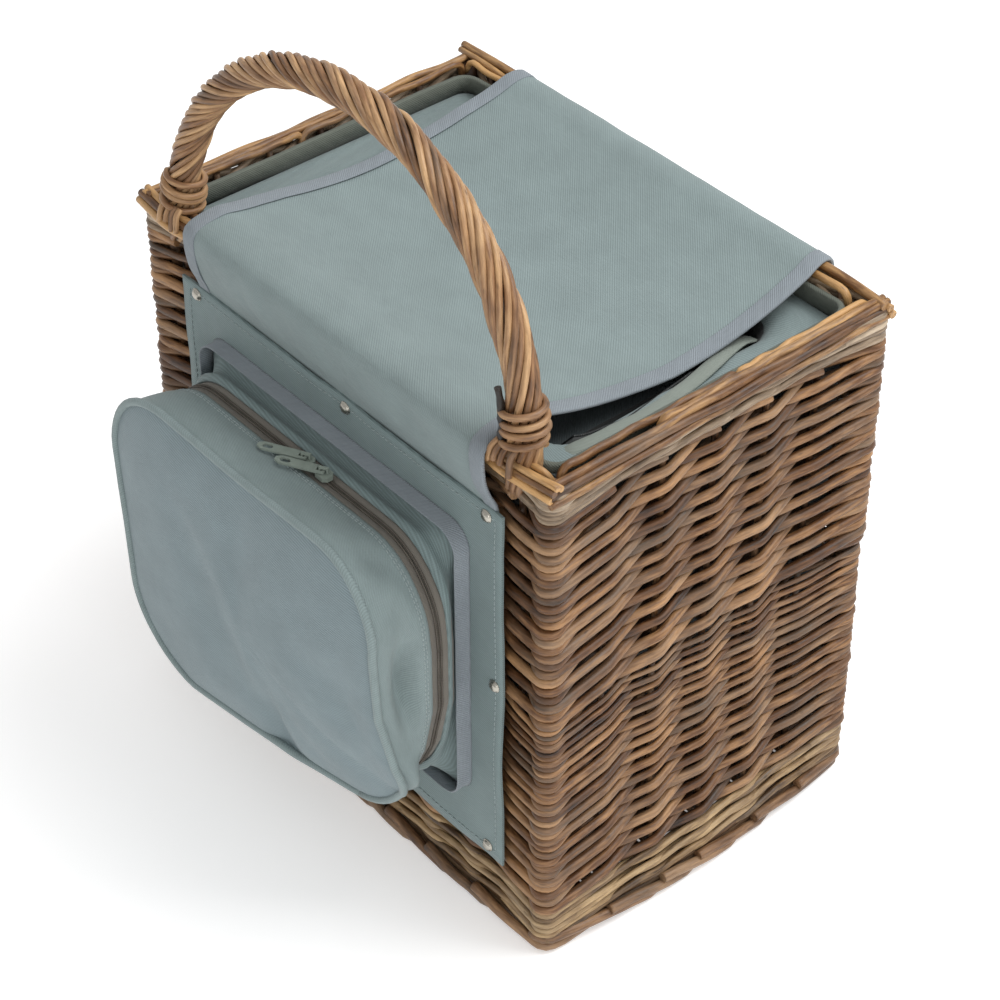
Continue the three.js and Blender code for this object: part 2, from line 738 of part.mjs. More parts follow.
function addHandle() {
  add("handle_core", handleCore(), paleWillow);
  add("handle_rods", handleSleeve(), tanWillow);
  add("handle_lashing_left", lashing("left lashing", -1), tanWillow);
  add("handle_lashing_right", lashing("right lashing", 1), tanWillow);
}

// Foam boards stand inside the outer skin, with the lining bag inside them.
function addCooler() {
  const foamX = skinX - skinThickness - seatGap;
  const foamY = skinY - skinThickness - seatGap;
  const floorLow = skinBottom + skinThickness + seatGap;
  const boardLow = floorLow + foamThickness + seatGap;
  const liningX = foamX - foamThickness - seatGap;
  const liningY = foamY - foamThickness - seatGap;
  const floor = rectangle(-foamX, foamX, -foamY, foamY);
  const board = (x0, x1, y0, y1) => plate(rectangle(x0, x1, y0, y1), [], boardLow, foamTop);
  const sideEnd = foamY - foamThickness - seatGap;
  const bindingTop = skinTop + seatGap + tapeThickness;
  const bindingLow = bindingTop - linerBindingHeight;
  const outside = seatGap + tapeThickness;
  const inside = -skinThickness - seatGap;
  const bindingProfile = [
    [outside, bindingLow], [outside, bindingTop], [inside - tapeThickness, bindingTop],
    [inside - tapeThickness, bindingLow], [inside, bindingLow], [inside, skinTop + seatGap],
    [seatGap, skinTop + seatGap], [seatGap, bindingLow],
  ];
  const collarProfile = [
    [inside, collarOuterZ], [-collarInset, collarInnerZ],
    [-collarInset, collarInnerZ - sheetThickness], [inside, collarOuterZ - sheetThickness],
  ];

  add("cooler_outer_skin", cup(skinX, skinY, linerRadius, skinThickness, skinBottom, skinTop), oxfordCloth);
  add("foam_floor", plate(floor, [], floorLow, floorLow + foamThickness), foam);
  add("foam_front", board(-foamX, foamX, -foamY, -foamY + foamThickness), foam);
  add("foam_back", board(-foamX, foamX, foamY - foamThickness, foamY), foam);
  add("foam_left", board(-foamX, -foamX + foamThickness, -sideEnd, sideEnd), foam);
  add("foam_right", board(foamX - foamThickness, foamX, -sideEnd, sideEnd), foam);
  add("cooler_lining", cup(liningX, liningY, linerRadius, liningThickness, boardLow, foamTop), foil);
  add("liner_collar", rectangularHoop(skinX, skinY, linerRadius, collarProfile), oxfordCloth);
  add("liner_binding", rectangularHoop(skinX, skinY, linerRadius, bindingProfile), darkTape);
}

// A zip tape round the back and both sides of the lid, open at the front.
// Its offsets run in from the skin.
function lidZipHalf(outer, inner, chainOuter, chainInner, frontY) {
  const strip = (from, to, low, high) => {
    const corners = [
      [skinX - from, frontY], [skinX - from, skinY - from],
      [from - skinX, skinY - from], [from - skinX, frontY],
      [to - skinX, frontY], [to - skinX, skinY - to],
      [skinX - to, skinY - to], [skinX - to, frontY],
    ];
    return plate(pointList(corners), [], low, high);
  };
  const tape = strip(outer, inner, collarInnerZ - zipTapeThickness, collarInnerZ);
  const chain = strip(chainOuter, chainInner, collarInnerZ - zipTapeThickness, collarInnerZ + chainStand);
  return join([tape, chain]);
}

function addLid() {
  const collarTape = collarInset + seatGap;
  const collarChain = collarTape + lidZipTapeWidth;
  const lidChain = collarChain + zipGap;
  const lidTape = lidChain + lidZipTapeWidth;
  const lidInset = lidTape + seatGap;
  const frontY = -(skinY - collarInset - seatGap);
  const lidX = skinX - lidInset;
  const lidBackY = skinY - lidInset;
  const lidHalfY = (lidBackY - frontY) / 2;
  const lidMiddleY = (lidBackY + frontY) / 2;
  const lidLow = collarInnerZ - lidThickness;
  const ring = (inset, z) =>
    roundedRect(lidX - inset, lidHalfY - inset, lidEdgeRound - inset).map((p) =>
      new THREE.Vector3(p.x, p.y + lidMiddleY, z));
  const rings = [
    ring(lidEdgeRound, lidLow), ring(0, lidLow + lidEdgeRound), ring(0, collarInnerZ - lidEdgeRound),
    ring(lidEdgeRound, collarInnerZ), ring(lidCrownInset, collarInnerZ + lidCrown),
  ];
  const collarHalf = lidZipHalf(collarTape, collarChain, collarChain - chainWidth, collarChain, frontY);
  const lidHalf = lidZipHalf(lidChain, lidTape, lidChain, lidChain + chainWidth, frontY);
  const sliderX = skinX - collarChain - zipGap / 2;
  const sliderY = lidBackY - lidSliderSetback;
  const onChain = new THREE.Vector3(sliderX, sliderY, collarInnerZ + chainStand);

  add("collar_zip_tape", collarHalf, darkZip);
  add("cooler_lid", loft(rings), oxfordCloth);
  add("lid_zip_tape", lidHalf, darkZip);
  addZipper("lid_zip", onChain, lidZipYaw, lidPullYaw);
}

// The sheet's middle line, as points in y and z.
function bend(centreY, centreZ, from, to) {
  return Array.from({ length: bendSteps + 1 }, (_, i) => {
    const angle = THREE.MathUtils.lerp(from, to, i / bendSteps);
    const y = centreY + flapBendRadius * Math.cos(angle);
    const z = centreZ + flapBendRadius * Math.sin(angle);
    return new THREE.Vector2(y, z);
  });
}

function flapPath() {
  const startY = flapHingeY + seatGap / 2;
  const sagY = startY + flapFlatRun;
  const middle = (sagY + rimInnerY) / 2;
  const reach = (rimInnerY - sagY) / 2;
  const points = [new THREE.Vector2(startY, flapZ)];
  for (let i = 0; i <= sagSteps; i++) {
    const s = (2 * i) / sagSteps - 1;
    points.push(new THREE.Vector2(middle + reach * s, flapZ - flapSag * (1 - s * s)));
  }
  const round = bend(flapOutY - flapBendRadius, flapZ - flapBendRadius, Math.PI / 2, 0);
  return [...points, ...round, new THREE.Vector2(flapOutY, flapZ - flapBackDrop)];
}

function tailPath(low) {
  const start = new THREE.Vector2(tailY, low);
  const swing = new THREE.Vector2(tailY, panelTop + tailStand);
  const round = bend(flapBendRadius - flapOutY, flapZ - flapBendRadius, Math.PI, Math.PI / 2);
  const end = new THREE.Vector2(flapHingeY - seatGap / 2, flapZ);
  return [start, swing, new THREE.Vector2(-flapOutY, swing.y + tailRun), ...round, end];
}

// Unit normals of a path in y and z, to the left of its direction.
function pathNormals(path) {
  return path.map((_, i) => {
    const before = path[Math.max(i - 1, 0)];
    const after = path[Math.min(i + 1, path.length - 1)];
    const along = after.clone().sub(before).normalize();
    return new THREE.Vector2(-along.y, along.x);
  });
}

function sheetOutline(path) {
  const normals = pathNormals(path);
  const offset = (amount) => path.map((p, i) => p.clone().addScaledVector(normals[i], amount));
  return [...offset(sheetThickness / 2), ...offset(-sheetThickness / 2).reverse()];
}

// A folded tape round one edge. Its first axis runs in from the edge, its second across the sheet.
function bindingSection() {
  const slot = sheetThickness / 2 + seatGap;
  const back = -seatGap - tapeThickness;
  const corners = [
    [back, -bindingHalf], [bindingCover, -bindingHalf], [bindingCover, -slot], [-seatGap, -slot],
    [-seatGap, slot], [bindingCover, slot], [bindingCover, bindingHalf], [back, bindingHalf],
  ];
  return pointList(corners);
}

function sideBinding(path, side) {
  const normals = pathNormals(path);
  const frames = path.map((p, i) => ({
    at: new THREE.Vector3(side * flapHalf, p.x, p.y),
    across: new THREE.Vector3(-side, 0, 0),
    out: new THREE.Vector3(0, normals[i].x, normals[i].y),
  }));
  return sweep(bindingSection(), frames);
}

function flapHem() {
  const low = flapZ - flapBackDrop;
  const outline = bindingSection().map((p) => new THREE.Vector2(flapOutY + p.y, low + p.x));
  const reach = flapHalf - bindingCover - seatGap;
  return crossPlate(outline, -reach, reach);
}

function addFlap() {
  const path = flapPath();
  const tail = crossPlate(sheetOutline(tailPath(panelTop - tailTuck)), -flapHalf, flapHalf);

  add("flap_tail", cut(tail, rivetRooms()), oxfordCloth);
  add("tail_binding_left", sideBinding(tailPath(panelTop + seatGap), -1), twillTape);
  add("tail_binding_right", sideBinding(tailPath(panelTop + seatGap), 1), twillTape);
  add("flap_cover", crossPlate(sheetOutline(path), -flapHalf, flapHalf), oxfordCloth);
  add("flap_binding_left", sideBinding(path, -1), twillTape);
  add("flap_binding_right", sideBinding(path, 1), twillTape);
  add("flap_hem", flapHem(), twillTape);
}

function addPanel() {
  const panel = rectangle(panelShift - panelHalf, panelShift + panelHalf, panelBottom, panelTop);
  const holes = Object.values(rivetPlaces).map(rivetHole);
  add("pocket_panel", frontPlate(panel, holes, panelBackY, panelFrontY), panelCloth);
  for (const [name, [x, z]] of Object.entries(rivetPlaces)) {
    add(`rivet_${name}`, rivet(), nickel).position.set(x, rivetDepth - halfDepth, z);
  }
}

// The pocket's outline at one depth, grown outwards by an offset.
function pocketRing(section, offset, y) {
  const halfX = pocketWidth / 2 + section.growX + offset;
  const halfZ = pocketHeight / 2 + section.growZ + offset;
  const centreZ = pocketCentreZ - section.drop;
  const outline = roundedRect(halfX, halfZ, section.radius + offset);
  return outline.map((p) => new THREE.Vector3(p.x, y, centreZ + p.y));
}

function betweenSections(from, to, share) {
  const mixed = Object.keys(from).map((key) => [key, THREE.MathUtils.lerp(from[key], to[key], share)]);
  return Object.fromEntries(mixed);
}

function shrunkRing(ring, share, y) {
  const centre = centreOf(ring);
  return ring.map((p) => p.clone().lerp(centre, 1 - share).setY(y));
}

function pocketBack() {
  const inset = -pocketWall - seatGap;
  const frontSection = betweenSections(baseSection, zipSection, pocketWall / rearGussetDepth);
  const rear = pocketRing(baseSection, inset, pocketBackY);
  return loft([rear, pocketRing(frontSection, inset, pocketBackY - pocketWall)]);
}

function rearGusset() {
  return loopLoft([
    pocketRing(baseSection, 0, pocketBackY), pocketRing(zipSection, 0, zipRearY),
    pocketRing(zipSection, -pocketWall, zipRearY), pocketRing(baseSection, -pocketWall, pocketBackY),
  ]);
}

function frameTape() {
  const outerSection = betweenSections(baseSection, zipSection, frameTapeWidth / rearGussetDepth);
  const endY = pocketBackY - frameTapeWidth;
  const outside = seatGap + tapeThickness;
  return loopLoft([
    pocketRing(baseSection, seatGap, pocketBackY), pocketRing(baseSection, outside, pocketBackY),
    pocketRing(outerSection, outside, endY), pocketRing(outerSection, seatGap, endY),
  ]);
}

// Half of the pocket's zip: a flat tape whose inner edge carries the chain.
function pocketZipHalf(tapeY, chainY) {
  const stepY = chainY + Math.sign(tapeY - chainY) * chainWidth;
  const back = -zipTapeThickness;
  const profile = [
    [back, tapeY], [0, tapeY], [0, stepY], [chainStand, stepY], [chainStand, chainY],
    [back - chainStand, chainY], [back - chainStand, stepY], [back, stepY],
  ];
  return loopLoft(profile.map(([offset, y]) => pocketRing(zipSection, offset, y)));
}

function frontGusset() {
  const middle = betweenSections(zipSection, edgeSection, bulgeShare);
  const middleY = (shellMouthY + shellEdgeY) / 2;
  return loopLoft([
    pocketRing(zipSection, 0, shellMouthY), pocketRing(middle, 0, middleY),
    pocketRing(edgeSection, 0, shellEdgeY), pocketRing(edgeSection, -pocketWall, shellEdgeY),
    pocketRing(middle, -pocketWall, middleY), pocketRing(zipSection, -pocketWall, shellMouthY),
  ]);
}

// The crowned face of the pocket, with the slanted edge that its piping lies along.
function pocketFace() {
  const seamY = shellEdgeY - seatGap;
  const face = pocketRing(edgeSection, -pocketEdgeInset, pocketFaceY);
  const innerFace = pocketRing(edgeSection, -pocketEdgeInset - pocketWall, pocketFaceY + pocketWall);
  const crownRings = (ring, standing) => crownShares.map((share) => {
    const height = (pocketCrown * (1 - share ** 2)) / (1 - crownShares[0] ** 2);
    return shrunkRing(ring, share, pocketFaceY + standing - height);
  });
  const outside = [...crownRings(face, 0), face, pocketRing(edgeSection, 0, seamY)];
  const innerSeam = pocketRing(edgeSection, -pocketWall, seamY);
  const inside = [...crownRings(innerFace, pocketWall), innerFace, innerSeam];
  return loft([...outside, ...inside.reverse()]);
}

// The piping lies along the slanted edge between the pocket's face and its side.
function piping() {
  const slant = new THREE.Vector2(pocketEdgeDepth, -pocketEdgeInset).normalize();
  const stand = pipingDiameter / 2 + seatGap;
  const offset = slant.x * stand - pocketEdgeInset / 2;
  const y = (shellEdgeY + pocketFaceY) / 2 + slant.y * stand;
  const section = polygon(pipingDiameter / 2, pipingSides);
  return loopLoft(section.map((p) => pocketRing(edgeSection, offset + p.x, y + p.y)));
}

// A slider with its bail. Its own x axis is the way its pull points.
function slider(zipYaw) {
  const halfL = sliderLength / 2;
  const halfW = sliderWidth / 2;
  const outline = [
    [halfL - sliderChamfer, -halfW], [halfL, sliderChamfer - halfW], [halfL, halfW - sliderChamfer],
    [halfL - sliderChamfer, halfW], [sliderChamfer - halfL, halfW], [-halfL, halfW - sliderChamfer],
    [-halfL, sliderChamfer - halfW], [sliderChamfer - halfL, -halfW],
  ];
  const body = plate(pointList(outline), [], -sliderHeight, 0).rotateZ(zipYaw);
  const outer = bailLength / 2;
  const inner = outer - bailBar;
  const sunk = -sliderHeight / 2;
  const arch = [
    [-outer, sunk], [-inner, sunk], [-inner, bailHeight - bailBar], [inner, bailHeight - bailBar],
    [inner, sunk], [outer, sunk], [outer, bailHeight], [-outer, bailHeight],
  ];
  const bail = frontPlate(pointList(arch), [], bailThickness / 2, -bailThickness / 2);
  return join([body, bail]);
}

function pull() {
  const neck = pullNeck / 2;
  const outline = [
    [-pullBar / 2, -neck], [pullWindow, -pullWidth / 2], [pullLength - pullWidth / 2, -pullWidth / 2],
    [pullLength, -neck / 2], [pullLength, neck / 2], [pullLength - pullWidth / 2, pullWidth / 2],
    [pullWindow, pullWidth / 2], [-pullBar / 2, neck],
  ];
  const window = rectangle(pullBar / 2, pullWindow, -pullRail, pullRail);
  const holeEnd = pullLength - pullWidth / 2;
  const hole = roundedRect(pullHoleLength / 2, pullHoleWidth / 2, pullHoleWidth / 2);
  hole.forEach((p) => p.setX(p.x + holeEnd - pullHoleLength / 2));
  const low = pivotHeight - pullThickness / 2;
  return plate(pointList(outline), [window, hole], low, low + pullThickness);
}

// A slider standing on a chain, with its pull lying the way of its yaw.
function addZipper(name, onChain, zipYaw, pullYaw) {
  const group = new THREE.Group();
  group.position.copy(onChain);
  group.position.z += seatGap + sliderHeight;
  group.rotation.z = pullYaw;
  part.add(group);
  add(`${name}_slider`, slider(zipYaw - pullYaw), paintedMetal, group);
  add(`${name}_pull`, pull(), paintedMetal, group);
}

function addPocket() {
  const zipTop = pocketCentreZ + pocketHeight / 2 + zipSection.growZ + chainStand;
  add("pocket_back", pocketBack(), oxfordCloth);
  add("pocket_rear_gusset", rearGusset(), oxfordCloth);
  add("pocket_frame_tape", frameTape(), twillTape);
  add("pocket_zip_rear_tape", pocketZipHalf(zipRearY - seatGap, zipMiddleY + zipGap / 2), zipTape);
  add("pocket_front_gusset", frontGusset(), oxfordCloth);
  add("pocket_face", pocketFace(), oxfordCloth);
  add("pocket_piping", piping(), oxfordCloth);
  add("pocket_zip_front_tape", pocketZipHalf(shellMouthY + seatGap, zipMiddleY - zipGap / 2), zipTape);
  for (const [side, x] of Object.entries(pocketSliderX)) {
    addZipper(`pocket_${side}`, new THREE.Vector3(x, zipMiddleY, zipTop), pocketZipYaw, pocketPullYaw);
  }
}

addWillowWork();
addHandle();
addCooler();
addLid();
addFlap();
addPanel();
addPocket();

export default part;
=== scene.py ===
# %% [markdown]
# # A willow picnic basket with a cooler, a cover and a pocket
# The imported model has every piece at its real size, and each one hangs on the body it moves with.
# In this lesson those pieces get the looks of willow and cloth. Loading the frame comes first,
# because everything made later is measured from it. Lengths are in metres, and +Z is up. Shapes are
# computed with arrays of points, which keeps every rod and seam at its real size.

# %% Load the frame
import math

import bpy
import numpy as np
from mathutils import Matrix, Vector, noise


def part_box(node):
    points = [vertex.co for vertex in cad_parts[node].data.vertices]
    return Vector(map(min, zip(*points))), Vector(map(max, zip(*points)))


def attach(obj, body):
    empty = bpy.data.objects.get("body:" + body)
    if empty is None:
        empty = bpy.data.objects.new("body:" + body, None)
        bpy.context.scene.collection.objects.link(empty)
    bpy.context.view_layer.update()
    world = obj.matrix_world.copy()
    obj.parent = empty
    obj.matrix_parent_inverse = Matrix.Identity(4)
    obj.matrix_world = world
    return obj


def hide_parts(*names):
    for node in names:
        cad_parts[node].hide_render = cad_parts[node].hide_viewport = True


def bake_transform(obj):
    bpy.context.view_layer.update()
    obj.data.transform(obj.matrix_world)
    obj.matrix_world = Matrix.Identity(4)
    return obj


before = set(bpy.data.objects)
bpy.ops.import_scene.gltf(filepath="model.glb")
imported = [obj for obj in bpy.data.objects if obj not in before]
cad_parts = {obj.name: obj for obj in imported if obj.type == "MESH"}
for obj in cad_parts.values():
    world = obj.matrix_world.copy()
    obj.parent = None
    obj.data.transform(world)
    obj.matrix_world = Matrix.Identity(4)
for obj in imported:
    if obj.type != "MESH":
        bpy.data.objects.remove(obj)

MM = 0.001
chance = np.random.default_rng(11)
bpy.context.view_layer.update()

# %% [markdown]
# ## Where the walls are
# A basket is woven round a row of upright stakes, so nearly every rod follows the outline of the
# walls. The outline could be typed in, but read from the four packed walls it stays true if they change.
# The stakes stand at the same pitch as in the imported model: nine across the front and the back, five on
# each side.

# %% Sizes of the walls
front_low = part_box("siding_front")[0]
back_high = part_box("siding_back")[1]
half_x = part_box("siding_right")[1].x
half_y = (back_high.y - front_low.y) / 2
centre_y = (back_high.y + front_low.y) / 2
siding_low = front_low.z
rim_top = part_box("rim_border")[1].z
wall_corner = 6 * MM
front_pitch = 41.75 * MM
side_pitch = 42.67 * MM
print("walls:", round(2 * half_x, 3), "by", round(2 * half_y, 3), "rim at", round(rim_top, 3))

# %% Lines
def unit(vectors):
    return vectors / np.linalg.norm(vectors, axis=-1, keepdims=True)


def lengths(line):
    steps = np.linalg.norm(np.diff(line, axis=0), axis=1)
    return np.concatenate([[0.0], np.cumsum(steps)])


def between(far, marks, rows):
    """The rows of a table read at distances far, where the rows themselves lie at marks."""
    return np.stack([np.interp(far, marks, column) for column in rows.T], axis=1)


def looped(line):
    """The line with its first point again at its end."""
    return np.concatenate([line, line[:1]])


def resample(line, spacing):
    far = lengths(line)
    steps = np.linspace(0, far[-1], max(2, round(far[-1] / spacing) + 1))
    return between(steps, far, line)


def smooth_line(points, spacing):
    """A soft line through a few points, with new points at even steps."""
    given = np.asarray(points, float)
    ends = np.concatenate([[2 * given[0] - given[1]], given, [2 * given[-1] - given[-2]]])
    t = np.linspace(0, 1, 12, endpoint=False)[:, None]
    spans = []
    for a, b, c, d in zip(ends, ends[1:], ends[2:], ends[3:]):
        bend = (2 * a - 5 * b + 4 * c - d) * t**2 + (3 * b - a - 3 * c + d) * t**3
        spans.append(0.5 * (2 * b + (c - a) * t + bend))
    return resample(np.concatenate(spans + [given[-1:]]), spacing)


# %% Bumps, climbs and noise
def hill(gap, wide):
    """A round bump: 1 where the gap is 0, and fading out over the distance wide."""
    return np.exp(-((gap / wide) ** 2))


def climb(value, start, stop):
    """A straight climb from 0 at start to 1 at stop."""
    return np.clip((value - start) / (stop - start), 0, 1)


def soft_noise(points, size, seed=0.0):
    """Smooth random values between about -1 and 1, with bumps of the given size."""
    shift = Vector((seed * 7.3, seed * 3.1, seed * 5.7))
    return np.array([noise.noise(Vector(p) / size + shift) for p in points])


# %% The outline of the walls
def rounded_ring(half_a, half_b, radius, side_steps=10, corner_steps=6):
    """Points and outward directions round a rectangle with round corners, anticlockwise."""
    points, outward = [], []
    signs = [(1, -1), (1, 1), (-1, 1), (-1, -1)]
    for quarter, (sign_a, sign_b) in enumerate(signs):
        middle = np.array([sign_a * (half_a - radius), sign_b * (half_b - radius)])
        turn = np.radians(np.linspace(90 * quarter - 90, 90 * quarter, corner_steps + 1))
        away = np.stack([np.cos(turn), np.sin(turn)], axis=1)
        points += list(middle + radius * away)
        outward += list(away)
        next_a, next_b = signs[(quarter + 1) % 4]
        after = np.array([next_a * (half_a - radius), next_b * (half_b - radius)])
        start = points[-1]
        stop = after + radius * away[-1]
        for share in np.arange(1, side_steps) / side_steps:
            points.append(start + (stop - start) * share)
            outward.append(away[-1])
    return np.array(points), np.array(outward)


wall_points, wall_outward = rounded_ring(half_x, half_y, wall_corner)
wall_points, wall_outward = looped(wall_points), looped(wall_outward)
wall_far = lengths(wall_points)
wall_round = wall_far[-1]


# %% Places on the walls
def belly(at, away, z):
    """How far the walls bulge near the foot: more on the sides than at the front and the back."""
    on_side = np.abs(away[:, 0]) > 0.71
    along = np.clip(np.where(on_side, at[:, 1] / half_y, at[:, 0] / half_x), -1, 1)
    amount, fade = np.where(on_side, 11 * MM, 5 * MM), np.where(on_side, 200 * MM, 50 * MM)
    return amount * (1 - along**2) * np.clip(1 - z / fade, 0, 1) ** 2


def on_wall(far, out, z):
    """Points at distances round the walls, pushed out from their outer face, at heights z."""
    far = np.mod(far, wall_round)
    at = between(far, wall_far, wall_points)
    away = unit(between(far, wall_far, wall_outward))
    heights = np.broadcast_to(z, len(at))
    at = at + away * (out + belly(at, away, heights))[:, None]
    return np.stack([at[:, 0], at[:, 1] + centre_y, heights], axis=1)


def far_of(x, y):
    """Distance round the walls of the point nearest to x, y."""
    tries = np.linspace(0, wall_round, 6000, endpoint=False)
    gap = on_wall(tries, 0.0, 0.0)[:, :2] - np.array([x, y + centre_y])
    return tries[np.argmin(np.linalg.norm(gap, axis=1))]


stake_places = [(k * front_pitch, s * half_y) for k in range(-4, 5) for s in (-1, 1)]
stake_places += [(s * half_x, k * side_pitch) for k in range(-2, 3) for s in (-1, 1)]
stations = np.sort([far_of(x, y) for x, y in stake_places])
corner_far = np.sort([far_of(x, y) for x in (-half_x, half_x) for y in (-half_y, half_y)])
print(len(stations), "stakes round", round(wall_round, 3), "m of wall")

# %% [markdown]
# ## Meshes made of rings
# A rod is a row of small circles along a line, and a folded tape is a row of flat loops. One function
# joins such rows into a closed mesh. A curve with a round bevel could draw a rod too, but a mesh made
# point by point can carry its own values. It stores where each point lies on the straightened rod or
# the flat cloth, in an attribute named lay, so that the materials can draw grain and weave in real
# millimetres. The attribute tint is one random number for each rod, and deep is 1 where a rod lies
# behind its neighbours; the willow darkens it there as painted shade and dust.

# %% A mesh with its attributes
def make_mesh(name, points, faces, lay, material, tint=0.5, flat_from=None, deep=0.0):
    mesh = bpy.data.meshes.new(name)
    mesh.from_pydata(np.asarray(points).tolist(), [], faces)
    place = mesh.attributes.new("lay", "FLOAT_VECTOR", "POINT")
    place.data.foreach_set("vector", np.asarray(lay, np.float32).ravel())
    for key, values in (("tint", tint), ("deep", deep)):
        shade = mesh.attributes.new(key, "FLOAT", "POINT")
        shade.data.foreach_set("value", np.broadcast_to(values, len(points)).astype(np.float32))
    last_smooth = len(faces) if flat_from is None else flat_from
    mesh.polygons.foreach_set("use_smooth", [k < last_smooth for k in range(len(faces))])
    mesh.materials.append(material)
    piece = bpy.data.objects.new(name, mesh)
    bpy.context.scene.collection.objects.link(piece)
    return piece


# %% Bodies over rings
def ring_faces(rows, around, first=0, loop=False):
    """Quads between neighbouring closed rings of points."""
    row = np.arange(rows if loop else rows - 1)[:, None]
    step = np.arange(around)[None, :]
    after = (step + 1) % around
    above = (row + 1) % rows
    quads = [row * around + step, above * around + step, above * around + after, row * around + after]
    return (first + np.stack(quads, axis=-1).reshape(-1, 4)).tolist()


def skin_rings(name, rings, lay, material, loop=False):
    """A closed body over a row of closed rings."""
    rows, around = rings.shape[:2]
    faces = ring_faces(rows, around, loop=loop)
    sides = len(faces)
    if not loop:
        faces.append(list(range(around)))
        faces.append(list(range((rows - 1) * around, rows * around))[::-1])
    return make_mesh(name, rings.reshape(-1, 3), faces, lay.reshape(-1, 3), material, flat_from=sides)


# %% Rods
def rods(name, strands, material, sides=7):
    """Many rods in one mesh. A strand is its line, its radii, a direction it never runs along and deep."""
    points, lay, tint, deep, walls, ends = [], [], [], [], [], []
    first = 0
    turn = np.linspace(0, 2 * np.pi, sides, endpoint=False)
    for line, radius, across, *depth in strands:
        count = len(line)
        ahead = unit(np.gradient(line, axis=0))
        side = unit(np.cross(ahead, across))
        over = np.cross(side, ahead)
        radius = np.broadcast_to(radius, count)[:, None]
        cos, sin = radius * np.cos(turn), radius * np.sin(turn)
        ring = cos[..., None] * side[:, None] + sin[..., None] * over[:, None]
        points.append((line[:, None] + ring).reshape(-1, 3))
        far = np.repeat(lengths(line), sides)
        lay.append(np.stack([far, cos.ravel(), sin.ravel()], axis=1))
        tint.append(np.full(count * sides, chance.random()))
        deep.append(np.repeat(np.broadcast_to(depth[0] if depth else 0.0, count), sides))
        walls += ring_faces(count, sides, first)
        ends.append(list(range(first, first + sides)))
        last = first + (count - 1) * sides
        ends.append(list(range(last, last + sides))[::-1])
        first += count * sides
    return make_mesh(
        name, np.concatenate(points), walls + ends, np.concatenate(lay), material,
        np.concatenate(tint), flat_from=len(walls), deep=np.concatenate(deep),
    )


# %% Sheets of cloth
def ring_lay(line, depth):
    """The places of a closed ring on the flat cloth: the way round it, and its depth."""
    around = lengths(looped(line))[:-1]
    return np.stack([around, np.full(len(line), depth), np.zeros(len(line))], axis=1)


def grid_normals(grid, wrap):
    down = np.gradient(grid, axis=0)
    if wrap:
        along = np.roll(grid, -1, axis=1) - np.roll(grid, 1, axis=1)
    else:
        along = np.gradient(grid, axis=1)
    return unit(np.cross(along, down))


def sheet(name, grid, lay, material, thickness, wrap=False, closed_end=False):
    """A cloth of real thickness over a grid of points. With wrap, each row is a closed ring."""
    rows, around = grid.shape[:2]
    half = grid_normals(grid, wrap) * thickness / 2
    points = np.concatenate([(grid + half).reshape(-1, 3), (grid - half).reshape(-1, 3)])
    under = rows * around
    row = np.arange(rows - 1)[:, None]
    step = np.arange(around if wrap else around - 1)[None, :]
    after = (step + 1) % around
    this, below = row * around, (row + 1) * around
    quads = [this + step, below + step, below + after, this + after]
    top = np.stack(quads, axis=-1).reshape(-1, 4)
    faces = top.tolist() + (top[:, ::-1] + under).tolist()
    last = (rows - 1) * around
    if closed_end:
        faces.append([last + k for k in range(around)][::-1])
        faces.append([under + last + k for k in range(around)])
    flat_from = len(faces)
    edges = [(k, (k + 1) % around) for k in range(around if wrap else around - 1)]
    if not closed_end:
        edges += [(last + b, last + a) for a, b in edges[:]]
    if not wrap:
        edges += [(k + around, k) for k in range(0, last, around)]
        edges += [(k, k + around) for k in range(around - 1, last + around - 1, around)]
    faces += [[a, b, b + under, a + under] for a, b in edges]
    both = np.concatenate([lay.reshape(-1, 3)] * 2)
    return make_mesh(name, points, faces, both, material, flat_from=flat_from)


# %% Hang a piece on its body
def settle(piece, body, slot, *nodes):
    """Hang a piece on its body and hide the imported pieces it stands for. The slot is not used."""
    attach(piece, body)
    if nodes:
        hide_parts(*nodes)
    print(piece.name, "on", body, "with", len(piece.data.polygons), "faces")
    return piece


# %% [markdown]
# ## Willow
# Willow rods differ from each other more than along their length: each has its own brown, then come
# long streaks, greyer patches and small dark scars where buds sat. A picture wrapped round the rods
# would show seams, so noise does it: the material reads tint and lay, and the streaks follow every bend
# of the rod. The kinds are boiled brown rods for the walls, greyed ones under the rim, pale ones for the
# bottom rows, tan ones for the rim, their own mix for the handle, reddish ones for the foot, and dark
# bark for one stub.

# %% Colours
def linear(red, green, blue):
    """A colour picked on screen (0 to 255), as the light amounts that shaders use."""
    shares = [v / 255 for v in (red, green, blue)]
    return tuple(v / 12.92 if v <= 0.04045 else ((v + 0.055) / 1.055) ** 2.4 for v in shares) + (1.0,)


